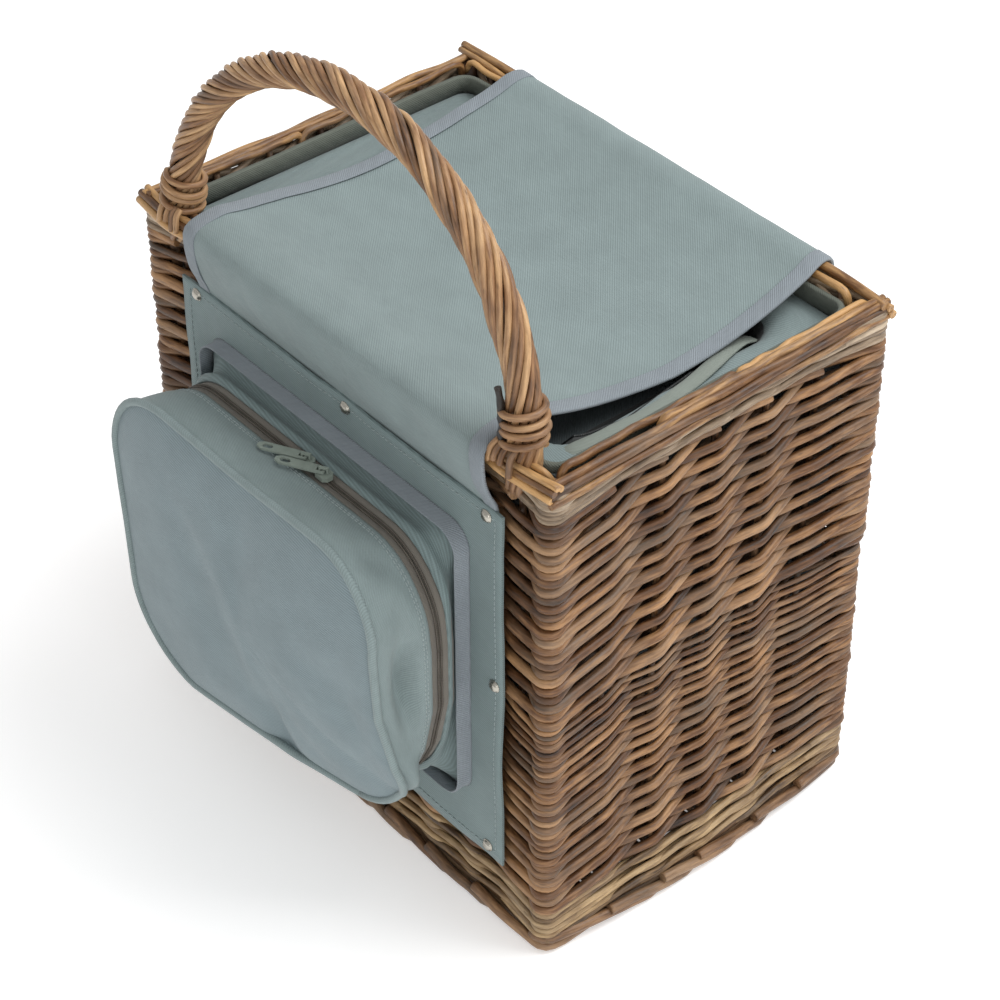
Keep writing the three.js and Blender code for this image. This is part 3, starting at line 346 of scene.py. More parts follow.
# %% A small kit for shader nodes
class Shader:
    """A material with short ways to add nodes and to link or set their inputs."""

    def __init__(self, name, roughness=0.6, metallic=0.0):
        self.material = bpy.data.materials.new(name)
        self.material.use_nodes = True
        self.tree = self.material.node_tree
        self.surface = self.tree.nodes["Principled BSDF"]
        self.surface.inputs["Roughness"].default_value = roughness
        self.surface.inputs["Metallic"].default_value = metallic

    def feed(self, socket, value):
        if isinstance(value, bpy.types.NodeSocket):
            self.tree.links.new(value, socket)
        else:
            socket.default_value = value

    def add(self, kind, output=0, inputs=None, **settings):
        made = self.tree.nodes.new(kind)
        for key, value in settings.items():
            setattr(made, key, value)
        for key, value in (inputs or {}).items():
            self.feed(made.inputs[key], value)
        return made.outputs[output]

    def math(self, operation, a, b=0.0):
        return self.add("ShaderNodeMath", inputs={0: a, 1: b}, operation=operation)

    def vector(self, operation, a, b):
        return self.add("ShaderNodeVectorMath", inputs={0: a, 1: b}, operation=operation)

    def noise(self, vector, scale, detail=2.0):
        return self.add("ShaderNodeTexNoise", inputs={"Vector": vector, "Scale": scale, "Detail": detail})

    def lay(self):
        return self.add("ShaderNodeAttribute", output=1, attribute_name="lay")

    def value_of(self, name):
        return self.add("ShaderNodeAttribute", output=2, attribute_name=name)

    def mix(self, share, a, b, blend="MIX"):
        made = self.tree.nodes.new("ShaderNodeMix")
        made.data_type = "RGBA"
        made.blend_type = blend
        for socket, value in ((made.inputs[0], share), (made.inputs[6], a), (made.inputs[7], b)):
            self.feed(socket, value)
        return made.outputs[2]

    def spread(self, value, low, high, to_low=0.0, to_high=1.0):
        limits = {"From Min": low, "From Max": high, "To Min": to_low, "To Max": to_high}
        return self.add("ShaderNodeMapRange", inputs={"Value": value, **limits})

    def ramp(self, value, colours):
        made = self.tree.nodes.new("ShaderNodeValToRGB")
        stops = made.color_ramp.elements
        while len(stops) < len(colours):
            stops.new(0.5)
        for stop, (place, colour) in zip(stops, colours):
            stop.position = place
            stop.color = colour
        self.feed(made.inputs[0], value)
        return made.outputs[0]

    def bump(self, height, distance, strength=0.5):
        relief = {"Height": height, "Distance": distance, "Strength": strength}
        self.feed(self.surface.inputs["Normal"], self.add("ShaderNodeBump", inputs=relief))

    def done(self, colour, roughness=None):
        self.feed(self.surface.inputs["Base Color"], colour)
        if roughness is not None:
            self.feed(self.surface.inputs["Roughness"], roughness)
        print("finish:", self.material.name)
        return self.material


# %% The willow materials
GREY_BARK = (146, 128, 106)


def willow(name, dark, middle, light, grey_share, tint_share=0.55, grey=GREY_BARK):
    """Willow of three browns, greyed in patches. tint_share is how much the rods differ."""
    kit = Shader(name)
    dark, middle, light, grey = [linear(*colour) for colour in (dark, middle, light, grey)]
    tint = kit.value_of("tint")
    shift = kit.add("ShaderNodeCombineXYZ", inputs={0: kit.math("MULTIPLY", tint, 3.1), 1: tint, 2: tint})
    place = kit.vector("ADD", kit.lay(), shift)
    long_place = kit.vector("MULTIPLY", place, (1.0, 7.0, 7.0))
    streak = kit.noise(long_place, 70.0, 5.0)
    patch = kit.noise(place, 24.0, 2.0)
    shade = kit.math("MULTIPLY", tint, tint_share)
    shade = kit.math("ADD", shade, kit.spread(streak, 0.3, 0.7, -0.16, 0.26))
    shade = kit.math("ADD", shade, kit.spread(patch, 0.3, 0.7, 0.0, 0.34))
    colour = kit.ramp(shade, [(0.05, dark), (0.45, middle), (0.9, light)])
    weathered = kit.spread(kit.noise(place, 13.0, 3.0), 0.45, 0.7, 0.0, grey_share)
    colour = kit.mix(weathered, colour, grey)
    cells = {"Vector": kit.vector("MULTIPLY", place, (1.0, 2.5, 2.5)), "Scale": 52.0}
    scar = kit.add("ShaderNodeTexVoronoi", inputs=cells)
    scar_dark = kit.spread(scar, 0.06, 0.13, 0.62, 1.0)
    fine = kit.noise(kit.vector("MULTIPLY", place, (1.0, 9.0, 9.0)), 210.0, 3.0)
    darken = kit.math("MULTIPLY", scar_dark, kit.spread(fine, 0.3, 0.7, 0.84, 1.1))
    # painted shade, with some dust: rods that lie deep behind their neighbours are darkened
    darken = kit.math("MULTIPLY", darken, kit.spread(kit.value_of("deep"), 0.0, 1.0, 1.0, 0.34))
    colour = kit.mix(1.0, colour, darken, "MULTIPLY")
    kit.bump(kit.math("ADD", fine, kit.math("MULTIPLY", streak, 0.6)), 0.5 * MM, 0.55)
    kit.surface.inputs["Coat Weight"].default_value = 0.14
    kit.surface.inputs["Coat Roughness"].default_value = 0.3
    kit.surface.inputs["Specular IOR Level"].default_value = 0.36
    return kit.done(colour, kit.spread(streak, 0.3, 0.7, 0.34, 0.6))


brown_willow = willow("brown willow", (34, 19, 10), (101, 67, 39), (173, 131, 89), 0.4)
grey_willow = willow("greyed willow", (70, 56, 42), (134, 114, 92), (190, 172, 148), 0.6)
pale_willow = willow("pale willow", (62, 43, 27), (132, 105, 72), (190, 162, 120), 0.4)
tan_willow = willow("tan willow", (52, 30, 15), (110, 75, 43), (190, 148, 96), 0.24, 0.8)
handle_willow = willow("handle willow", (56, 34, 20), (136, 99, 67), (194, 156, 112), 0.24)
red_willow = willow("reddish willow", (54, 35, 23), (112, 82, 56), (160, 126, 92), 0.36)
dark_bark = willow("dark bark", (14, 11, 9), (30, 25, 20), (58, 50, 42), 0.2, grey=(50, 46, 42))

# %% [markdown]
# ## The foot border
# Under the walls runs a border of thick rods. Each one starts with a cut end on the outside, runs along
# the bottom edge past two stakes, sinks, and goes under the basket below the next rod. Modelling 28 rods
# one by one would take long, so every rod is the same path moved on by one stake, with a small random
# change. Two hoops lie behind them.

# %% The foot border
UPRIGHT = np.array([0.0, 0.0, 1.0])
stake_count = len(stations)
station_steps = np.arange(4 * stake_count)
station_far = np.concatenate([stations + wall_round * k for k in range(4)])


def far_at(steps):
    """Distance round the walls for a stake number, which may lie between two stakes."""
    return np.interp(steps, station_steps, station_far)


def shake(count, amount, waves=5):
    """A slow random wander for a line of points."""
    knots = chance.normal(0.0, amount, waves)
    return np.interp(np.linspace(0, waves - 1, count), np.arange(waves), knots)


# share of the way, place outward and height, in millimetres
foot_track = np.array([
    (0.0, 2.4, 12.0), (0.12, 2.2, 11.2), (0.4, 2.4, 7.8), (0.65, 1.4, 4.6), (0.85, -3.6, 4.0),
    (1.0, -9.5, 4.6),
])
foot_points, hoop_points = 44, 160
foot_girth = np.linspace(3.7, 3.2, foot_points) * MM
# hoop_deep darkens the hoops behind the foot as painted shade
hoop_radius, hoop_deep = 4.4 * MM, 0.6
shares = np.linspace(0, 1, foot_points)
track_out, track_z = between(shares, foot_track[:, 0], foot_track[:, 1:]).T * MM
foot_rods = []
for k in range(stake_count):
    steps = k + chance.normal(0, 0.1) + (2.2 + chance.normal(0, 0.12)) * shares
    out, z = track_out + shake(foot_points, 0.4 * MM), track_z + shake(foot_points, 0.3 * MM)
    foot_rods.append((on_wall(far_at(steps + stake_count), out, z), foot_girth, UPRIGHT))
hoop_far = np.linspace(0, wall_round, hoop_points)
for out, z in ((-6.5, 6.0), (-6.0, 13.0)):
    outs, heights = out * MM + shake(hoop_points, 0.5 * MM, 20), z * MM + shake(hoop_points, 0.4 * MM, 20)
    foot_rods.append((on_wall(hoop_far, outs, heights), hoop_radius, UPRIGHT, hoop_deep))
settle(rods("foot_border_rods", foot_rods, red_willow, 9), "basket", "willow", "foot_border")

# %% [markdown]
# ## The base
# Seen from below, the floor is a plain weave of thin rods over a few thick sticks. Each thin rod goes
# over one stick and under the next, and its neighbour does the opposite. A cosine along each rod, turned
# over from row to row, weaves them without any simulation.

# %% The woven base
base_low, base_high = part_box("woven_base")
base_middle = (base_low.z + base_high.z) / 2
base_sticks = np.linspace(base_low.x + 18 * MM, base_high.x - 18 * MM, 9)
stick_gap = base_sticks[1] - base_sticks[0]
base_stick_radius, base_rod_radius = 2.9 * MM, 2.6 * MM
base_rows = np.arange(base_low.y + 6 * MM, base_high.y - 5 * MM, 5.4 * MM)
x_along = np.linspace(base_low.x + 3 * MM, base_high.x - 3 * MM, 70)
floor_strands = []
for x in base_sticks:
    ends = [(x, base_low.y + 3 * MM, base_middle), (x, base_high.y - 3 * MM, base_middle)]
    floor_strands.append((resample(np.array(ends), 20 * MM), base_stick_radius, UPRIGHT))
for row, y in enumerate(base_rows):
    lift = np.cos(np.pi * ((x_along - base_sticks[0]) / stick_gap + row)) * 2.3 * MM
    line = np.stack([x_along, np.full(len(x_along), y), base_middle + lift], axis=1)
    floor_strands.append((line, base_rod_radius, UPRIGHT))
settle(rods("base_weave", floor_strands, brown_willow), "basket", "willow", "woven_base")

# %% [markdown]
# ## Stakes and corner posts
# The uprights carry the weave. On a square basket the four corner posts are thick sticks that every
# weaver passes on the outside, which gives the walls their crisp corners. They are hardly seen, so a
# plain rod with a slight wander is enough, but without them one could look straight through the walls.

# %% Stakes and corner posts
stake_out, stake_radius = -6.3 * MM, 2.3 * MM
post_out, post_radius = -6.5 * MM, 6.4 * MM
# upright_deep darkens the stakes and posts behind the weave as painted shade
upright_points, upright_deep = 12, 0.7
stake_heights = np.linspace(12 * MM, rim_top - 8 * MM, upright_points)
LEVEL = np.array([0.83, 0.56, 0.0])
stake_strands = []
for far in stations:
    line = on_wall(far + shake(upright_points, 0.5 * MM), stake_out, stake_heights)
    stake_strands.append((line, stake_radius, LEVEL, upright_deep))
settle(rods("stakes", stake_strands, brown_willow), "basket", "willow", "stake_cage")

for far in corner_far:
    line = on_wall(np.full(upright_points, far), post_out, stake_heights)
    spot = f"{'front' if line[0, 1] < centre_y else 'back'}_{'right' if line[0, 0] > 0 else 'left'}"
    post = rods(f"post_{spot}", [(line, post_radius, LEVEL, upright_deep)], brown_willow, 12)
    settle(post, "basket", "willow", f"corner_post_{spot}")

# %% [markdown]
# ## How a weaver runs
# A weaver runs straight from the front of one stake to the back of the next and bends sharply at each,
# so its path is a zigzag with its bends rounded off. At a corner it stays flat against the outside of
# the post, and there it stands out a little from the walls.

# %% The path of a weaver
corner_all = np.concatenate([corner_far + wall_round * k for k in range(4)])


def weaver(start, count, side_of_stake, swing):
    """Distances round the walls, stake numbers and outward places of a weaver past count stakes."""
    marks = np.arange(-1, count + 2)
    stakes_far = far_at(marks + start + stake_count)
    outs = stake_out + swing * np.array([side_of_stake(mark) for mark in marks])
    turns = corner_all[(corner_all > stakes_far[0]) & (corner_all < stakes_far[-1])]
    bend_far, bend_out = np.array([-5.0, 0.0, 5.0]) * MM, np.array([2.2, 2.8, 2.2]) * MM
    knots = np.concatenate([stakes_far, (turns[:, None] + bend_far).ravel()])
    outs = np.concatenate([outs, np.tile(bend_out, len(turns))])
    order = np.argsort(knots)
    near_stakes = stakes_far[:, None] + np.array([-15.0, -4.5, -1.5, 1.5, 4.5, 15.0]) * MM
    near_corners = turns[:, None] + np.array([-12, -8, -6, -4.5, -3, -1.2, 1.2, 3, 4.5, 6, 8, 12]) * MM
    far = np.unique(np.concatenate([near_stakes.ravel(), near_corners.ravel()]))
    far = far[(far >= stakes_far[1]) & (far <= stakes_far[-2])]
    shifts = np.linspace(-3.2, 3.2, 5) * MM
    out = np.mean([np.interp(far + shift, knots[order], outs[order]) for shift in shifts], axis=0)
    return far, np.interp(far, stakes_far, marks), out


# %% [markdown]
# ## The bottom wale
# Above the foot come three rows of waling: three thin pale rods twisted round the stakes together, each
# in front of two stakes and behind one. That makes the long slanting strokes seen near the bottom. The
# path of a weaver serves again: only the rule for front and behind is another.

# %% Rows of waling
def wale(rows, low, high, radius, swing):
    strands = []
    row_gap = (high - low) / rows
    for row in range(rows):
        start = chance.integers(0, stake_count)
        for strand in range(3):
            far, steps, out = weaver(
                start, stake_count + 1, lambda k: -1 if (k - strand) % 3 == 2 else 1, swing
            )
            slant = 0.36 * row_gap * np.sin(2 * np.pi * (steps - strand) / 3)
            z = low + (row + 0.5) * row_gap + slant + shake(len(far), 0.5 * MM, 14)
            out = out + shake(len(far), 0.4 * MM, 20)
            strands.append((on_wall(far, out, z), radius * (1 + shake(len(far), 0.06, 9)), UPRIGHT))
    return strands


wale_low, wale_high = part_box("bottom_wale")
wale_rows, wale_radius = 3, 2.5 * MM
bottom_low, bottom_high = wale_low.z - 3.5 * MM, wale_high.z + 1.5 * MM
bottom_strands = wale(wale_rows, bottom_low, bottom_high, wale_radius, 4.8 * MM)
settle(rods("bottom_wale_rods", bottom_strands, pale_willow), "basket", "pale_willow", "bottom_wale")

# %% [markdown]
# ## The walls
# The walls are a French rand, in two bands. One rod starts behind every stake, goes in front of the
# next and behind the one after, and climbs by its own thickness at each step. In the lower band the
# rods taper from thick butts to thin tips, so the weave gets finer upwards. The upper band has stouter
# rods. Copies of one short piece would repeat visibly, so the rods are made in full: with 28 to a band,
# 56 rods make the four walls.

# %% Two bands of weaving
def rand_band(low, high, butt, tip):
    rise, mean = high - low, (butt + tip) / 2
    climbs = round(rise / mean)
    strands = []
    for start in range(stake_count):
        far, steps, out = weaver(start, climbs, lambda k: 1 if k % 2 else -1, 5.5 * MM)
        share = np.clip(steps / climbs, 0, 1)
        height = share * (butt + (tip - butt) * share / 2) / mean
        z = low + rise * height + shake(len(far), 0.5 * MM, 40)
        pitch = butt + (tip - butt) * share
        girth = pitch / pitch_to_radius * (1 + chance.normal(0, 0.07)) * (1 + shake(len(far), 0.03, 12))
        line = on_wall(far, out + shake(len(far), 0.4 * MM, 40), z)
        # the last value, deep, darkens the rod where it passes behind the stakes: painted shade
        strands.append((line, girth, UPRIGHT, climb(-out, 5 * MM, 11 * MM)))
    return strands


pitch_to_radius = 1.88
band_seam = siding_low + 166 * MM
band_top = rim_top - 29 * MM
lower_band = rods("lower_weave", rand_band(siding_low + 1 * MM, band_seam, 6.9 * MM, 3.4 * MM), brown_willow)
upper_band = rods("upper_weave", rand_band(band_seam + 2 * MM, band_top, 7.2 * MM, 5.9 * MM), brown_willow)
settle(lower_band, "basket", "willow", "siding_front", "siding_right")
settle(upper_band, "basket", "willow", "siding_back", "siding_left")
top_strands = wale(wale_rows, band_top + 0.5 * MM, rim_top - 8 * MM, wale_radius, 5.0 * MM)
settle(rods("top_wale_rods", top_strands, grey_willow), "basket", "willow")
print("weave:", len(lower_band.data.polygons) + len(upper_band.data.polygons), "faces")

# %% [markdown]
# ## The rim
# At the top the stakes are bent over and laid along the sides. Three long rods run from corner to corner
# and end in cut tips that stick out past it. Three more rise out of the wall, bend over and lie inside
# them. The rods are loose, so gaps show between them. A plait of one repeated piece would look too
# neat, so each rod has its own start, end and depth.

# %% The rim border
def border_rod(side, start, stop, out, depth, rises, dives):
    """One rod of the rim. start and stop are shares of the side, out and depth are at its two ends."""
    low_far, high_far = corner_points[side], corner_points[(side + 1) % 4]
    ahead = unit(high_far - low_far)
    away = np.array([ahead[1], -ahead[0]])
    long = np.linalg.norm(high_far - low_far)
    places = []
    if rises:
        places.append((start * long - 2.5 * MM, -6.5, 30.0))
        places.append((start * long - 1.5 * MM, out[0] + 0.6, depth[0] + 7))
    for share in np.linspace(0, 1, 11):
        wander = chance.normal(0, 0.6, 2) * (0 < share < 1)
        spot = (start + (stop - start) * share) * long + (3 * MM if rises and share == 0 else 0)
        round_foot = 5.0 * hill(abs(spot - long / 2) - handle_half, 26 * MM) * (side == front_side)
        middle_out = np.interp(share, [0, 1], out) + wander[0] + round_foot
        places.append((spot, middle_out, np.interp(share, [0, 1], depth) + wander[1]))
    if dives:
        places.append((stop * long + 5 * MM, out[1] - 0.8, depth[1] + 9))
    far, outs, depths = np.array(places).T
    flat = low_far + far[:, None] * ahead + (outs * MM)[:, None] * away
    points = np.column_stack([flat[:, 0], flat[:, 1] + centre_y, rim_top - depths * MM])
    line = smooth_line(points, 4 * MM)
    return line, np.linspace(2.7, 2.2, len(line)) * MM * (1 + chance.normal(0, 0.08)), np.append(away, 0.25)


handle_radius = 11 * MM
handle_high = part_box("handle_rods")[1]
handle_half = handle_high.x - handle_radius
# the sides are counted from the right wall: right, back, left, front
front_side = 3
corner_points = np.array([(half_x, -half_y), (half_x, half_y), (-half_x, half_y), (-half_x, -half_y)])
rim_rods = []
for side in range(4):
    over = 2.6 if side % 2 else 0.0
    rim_rods += [
        border_rod(side, -0.012, 1.01, (3.2, 2.4), (13.2 - over, 11.6 - over), False, False),
        border_rod(side, -0.01, 1.012, (1.6, 0.6), (8.4 - over, 7.0 - over), False, False),
        border_rod(side, -0.006, 1.014, (-2.4, -1.0), (5.4 - over, 3.4 - over), False, False),
        border_rod(side, 0.06, 0.56, (-9.4, -10.4), (3.2, 4.2), True, True),
        border_rod(side, 0.33, 1.012, (-5.2, -4.8), (3.4, 3.0), True, False),
        border_rod(side, 0.57, 0.965, (-9.2, -9.8), (3.6, 3.2), True, True),
    ]
settle(rods("rim_rods", rim_rods, tan_willow, 9), "basket", "tan_willow", "rim_border")

# %% [markdown]
# ## The handle
# The handle is one bent stick with twelve long rods twisted round it. A screw modifier could twist a
# bundle evenly, but here the twist changes: the rods start nearly straight at the right foot and twist
# more and more to the left. So each rod is computed as a helix along the arch.

# %% The handle's arch
handle_rise = handle_high.z - handle_radius - rim_top
handle_y = front_low.y + 6.5 * MM
handle_lean = 15 * MM


def arch(turn):
    """The bent centre line of the handle, from the right foot (0) to the left foot (pi)."""
    x = handle_half * np.cos(turn)
    return np.stack([x, handle_y + handle_lean * np.sin(turn), rim_top + handle_rise * np.sin(turn)], axis=1)


ACROSS = np.array([0.0, 1.0, 0.0])
arch_line = arch(np.linspace(0.0, np.pi, 200))
foot_line = np.stack([np.zeros(6), np.zeros(6), np.linspace(-24, -2, 6) * MM], axis=1)
arch_line = np.concatenate([arch_line[:1] + foot_line, arch_line, arch_line[-1:] + foot_line[::-1]])
arch_ahead = unit(np.gradient(arch_line, axis=0))
arch_side = unit(np.cross(arch_ahead, ACROSS))
arch_over = np.cross(arch_side, arch_ahead)
arch_share = lengths(arch_line) / lengths(arch_line)[-1]

# %% The bent stick and the twisted rods
# deep 0.8 darkens the bent stick inside the twist as painted shade
bow = rods("handle_bow", [(arch_line[3:-3], 6.4 * MM, ACROSS, 0.8)], handle_willow, 12)
settle(bow, "basket", "tan_willow", "handle_core")
handle_count, handle_ring = 12, 8.7
twist = -2 * np.pi * (1.5 * arch_share + 3.2 * arch_share**1.5)
handle_strands = []
for k in range(handle_count):
    angle = 2 * np.pi * k / handle_count + twist + shake(len(arch_share), 0.05, 12)
    ring = (handle_ring + 0.25 * chance.normal()) * MM + shake(len(arch_share), 0.35 * MM, 12)
    away = np.cos(angle)[:, None] * arch_side + np.sin(angle)[:, None] * arch_over
    line = arch_line + ring[:, None] * away
    girth = np.linspace(2.35, 1.95, len(arch_share)) * MM * (1 + chance.normal(0, 0.05))
    handle_strands.append((line, girth, ACROSS))
settle(rods("handle_twist", handle_strands, handle_willow, 9), "basket", "tan_willow", "handle_rods")

# %% [markdown]
# ## Lashings
# At each foot a rod is wound round the handle, not quite evenly. Below it the handle's rods go down into
# the wall, which is how such a handle is anchored, and a few short cut ends stay outside the rim. One
# dark rod end with its bark on sticks up beside the right foot.

# %% Lashings and split ends
def lashing(side, foot, height, turns):
    """A rod wound round the handle from foot to foot + height (mm above the rim), not quite evenly."""
    spots = np.linspace(0, 1, lash_points)
    angle = 2 * np.pi * turns * spots + 1.2
    away = lash_ring + shake(lash_points, 0.6 * MM, 14)
    z = rim_top + (foot + height * spots) * MM + shake(lash_points, 1.1 * MM, 12)
    middle = arch(np.arcsin(np.clip((z - rim_top) / handle_rise, 0, 1)))
    x = side * (middle[:, 0] + away * np.cos(angle))
    y = middle[:, 1] + away * np.sin(angle)
    return np.stack([x, y, z + 2.6 * MM * np.cos(angle + 0.7)], axis=1), 2.2 * MM, UPRIGHT


def split_ends(side, foot):
    """Short cut ends of the handle's rods that show under the lashing, outside the rim."""
    strands = []
    for offset in (-10.5, -6.5, -2.0, 4.0):
        reach = chance.uniform(6, 12)
        x = side * (handle_half + offset * MM)
        spread = side * offset * 0.3 * MM
        wall_y = front_low.y
        strands.append(smooth_line([
            (x, wall_y - 3.0 * MM, rim_top + (foot + 4) * MM),
            (x + 0.4 * spread, wall_y - 7.4 * MM, rim_top + foot * MM),
            (x + spread, wall_y - 9.4 * MM, rim_top + (foot - reach) * MM),
        ], 2 * MM))
    return [(line, 2.1 * MM, np.array([1.0, 0.0, 0.0])) for line in strands]


lash_points, lash_ring = 220, 13.0 * MM
for side, word, foot, height, turns in ((-1, "left", 0, 22, 3.7), (1, "right", 5, 30, 4.3)):
    strands = [lashing(side, foot, height, turns)] + split_ends(side, foot)
    wound = rods(f"lashing_{word}", strands, handle_willow, 8)
    settle(wound, "basket", "tan_willow", f"handle_lashing_{word}")

# %% The stub of bark
stub_foot = Vector((handle_half - 8.4 * MM, handle_y - 8.4 * MM, rim_top))
stub_places = [(0.0, 0.0, 8.0), (-0.6, -0.4, 24.0), (-1.4, -0.8, 36.0), (-3.0, -1.4, 45.0)]
stub_line = smooth_line([stub_foot + Vector(place) * MM for place in stub_places], 2 * MM)
stub_girth = np.linspace(3.0, 2.2, len(stub_line)) * MM * (1 + shake(len(stub_line), 0.12, 8))
settle(rods("bark_stub", [(stub_line, stub_girth, ACROSS)], dark_bark, 9), "basket", "willow")

# %% [markdown]
# ## Cloth
# The cover, the panel and the pocket are a coated grey-green oxford. Close up it shows a fine twill:
# ridges between one and two millimetres apart, slanting or level, crossed by single threads. A picture
# of cloth would blur close up, while sine waves over lay stay sharp. One function makes every cloth and
# tape, with other colours and pitches.

# %% The cloth materials
def cloth(name, colour, pitch, contrast=0.17, turn=45, relief=0.2, roughness=0.68, sheen=0.12):
    kit = Shader(name, roughness)
    kit.surface.inputs["Sheen Weight"].default_value = sheen
    kit.surface.inputs["Specular IOR Level"].default_value = 0.35
    place = kit.lay()
    parts = kit.tree.nodes.new("ShaderNodeSeparateXYZ")
    kit.feed(parts.inputs[0], place)
    wave = 2 * math.pi / pitch

    def ridges(u_share, v_share):
        along = kit.math("MULTIPLY", parts.outputs[0], u_share * wave)
        down = kit.math("MULTIPLY", parts.outputs[1], v_share * wave)
        return kit.math("SINE", kit.math("ADD", along, down))

    ridge = ridges(math.cos(math.radians(turn)), math.sin(math.radians(turn)))
    threads = kit.math("MULTIPLY", ridges(1.3, 0.0), ridges(0.0, 1.3))
    height = kit.math("ADD", kit.math("MULTIPLY", ridge, 0.6), kit.math("MULTIPLY", threads, 0.4))
    uneven = kit.spread(kit.noise(place, 34.0, 4.0), 0.3, 0.7, 0.94, 1.06)
    slub = kit.noise(kit.vector("MULTIPLY", place, (1.0, 14.0, 1.0)), 110.0, 2.0)
    light = kit.math("MULTIPLY", uneven, kit.spread(slub, 0.3, 0.7, 0.94, 1.06))
    light = kit.math("MULTIPLY", light, kit.spread(height, -1.0, 1.0, 1 - contrast, 1 + contrast))
    kit.bump(height, relief * MM, 0.6)
    return kit.done(kit.mix(1.0, linear(*colour), light, "MULTIPLY"))


oxford = cloth("oxford cloth", (122, 136, 136), 1.4 * MM)
panel_cloth = cloth("panel cloth", (113, 129, 129), 1.8 * MM, 0.22, 82)
face_cloth = cloth("pocket cloth", (114, 129, 133), 1.8 * MM, 0.24, 80)
# painted shade: a darker copy of the cloth for the cooler bag and the lid's top, which lie in shade behind
# the weave and under the cover
bag_cloth_painted_shade = cloth("dark bag cloth", (70, 78, 80), 1.4 * MM)
twill_tape = cloth("twill tape", (127, 135, 141), 1.3 * MM, 0.18, 45, 0.35)
dark_tape = cloth("dark tape", (92, 97, 88), 1.3 * MM, 0.16, 45, 0.3)
lip_tape = cloth("pale lip cloth", (128, 136, 128), 1.2 * MM)
zip_cloth = cloth("zip tape", (112, 107, 99), 0.9 * MM, 0.12, 10, 0.15)
dark_zip_cloth = cloth("dark zip tape", (50, 53, 52), 0.9 * MM, 0.12, 10, 0.15)
thread = cloth("sewing thread", (146, 158, 158), 0.9 * MM, 0.1, 60, 0.1)
coil_plastic = cloth("zip coil", (86, 80, 72), 1.3 * MM, 0.3, 5, 0.3, 0.45, 0.0)
dark_coil = cloth("dark zip coil", (46, 48, 48), 1.3 * MM, 0.3, 5, 0.3, 0.45, 0.0)

# %% [markdown]
# ## The cooler bag
# Inside the walls hangs a cooler: an outer bag of the same cloth, boards of foam, and an inner bag of
# foil film. The outer bag's cloth is coloured darker, as painted shade behind the weave. A cloth
# simulation could hang the bags, but they lie close to the boards and little of them shows. So a bag is
# made of rings: from the middle of its floor outwards, round the bottom edge, and up to the top. Soft
# noise gives it the slack of cloth.

# %% Bags from rings
def bag(name, low, high, corner, material, thickness, slack, seed):
    """A cup of cloth that fills a box from low to high and is open at the top."""
    half_a, half_b = (high.x - low.x) / 2, (high.y - low.y) / 2
    middle_y = (high.y + low.y) / 2
    rows, lay_rows = [], []
    floor = [(share, low.z) for share in (0.05, 0.3, 0.6, 0.85)]
    bend = [(1 - 6 * MM / half_a, low.z + 0.6 * MM), (1.0, low.z + 6 * MM)]
    wall = [(1.0, z) for z in np.linspace(low.z + 14 * MM, high.z, 22)]
    for share, z in floor + bend + wall:
        ring, _ = rounded_ring(half_a * share, half_b * share, corner * share, 12, 5)
        rows.append(np.stack([ring[:, 0], ring[:, 1] + middle_y, np.full(len(ring), z)], axis=1))
        lay_rows.append(ring_lay(rows[-1], z))
    grid, lay = np.array(rows), np.array(lay_rows)
    ease = soft_noise(grid.reshape(-1, 3), 55 * MM, seed).reshape(grid.shape[:2])
    hold = climb(high.z - grid[..., 2], 0, 40 * MM) * climb(grid[..., 2] - low.z, 0, 30 * MM)
    inward = -grid_normals(grid, True)
    toward_middle = np.sign(-(inward * (grid - np.array([0, middle_y, 0.2]))).sum(axis=2, keepdims=True))
    grid = grid + inward * toward_middle * ((0.5 + 0.5 * ease) * hold * slack)[..., None]
    # rows start at the middle of the floor, so the closed end is the first row
    return sheet(name, grid[::-1], lay[::-1], material, thickness, wrap=True, closed_end=True)


skin_low, skin_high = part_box("cooler_outer_skin")
outer_bag = bag("cooler_bag", skin_low, skin_high, 5 * MM, bag_cloth_painted_shade, 1.0 * MM, 1.5 * MM, 1.0)
settle(outer_bag, "basket", "oxford_cloth", "cooler_outer_skin")

# %% Foil film, foam and the inner bag
def foil():
    kit = Shader("foil film", 0.3, 0.85)
    place = kit.lay()
    cells = {"Vector": place, "Scale": 60.0}
    crease = kit.add("ShaderNodeTexVoronoi", inputs=cells, feature="DISTANCE_TO_EDGE")
    folds = kit.math("ADD", kit.noise(place, 90.0, 5.0), kit.spread(crease, 0.0, 0.12, 0.0, 0.7))
    kit.bump(folds, 1.2 * MM, 0.5)
    shade = kit.spread(kit.noise(place, 20.0, 3.0), 0.3, 0.7, 0.0, 1.0)
    return kit.done(kit.mix(shade, linear(196, 199, 202), linear(222, 224, 226)))


def foam():
    kit = Shader("white foam", 0.9)
    place = kit.lay()
    cells = kit.noise(place, 700.0, 3.0)
    kit.bump(cells, 0.4 * MM, 0.5)
    return kit.done(kit.mix(kit.spread(cells, 0.35, 0.65), linear(214, 214, 208), linear(234, 234, 229)))


foil_film, white_foam = foil(), foam()
lining_low, lining_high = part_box("cooler_lining")
inner_bag = bag("foil_bag", lining_low, lining_high, 10 * MM, foil_film, 0.5 * MM, 1.2 * MM, 2.0)
settle(inner_bag, "basket", "foil_lining", "cooler_lining")


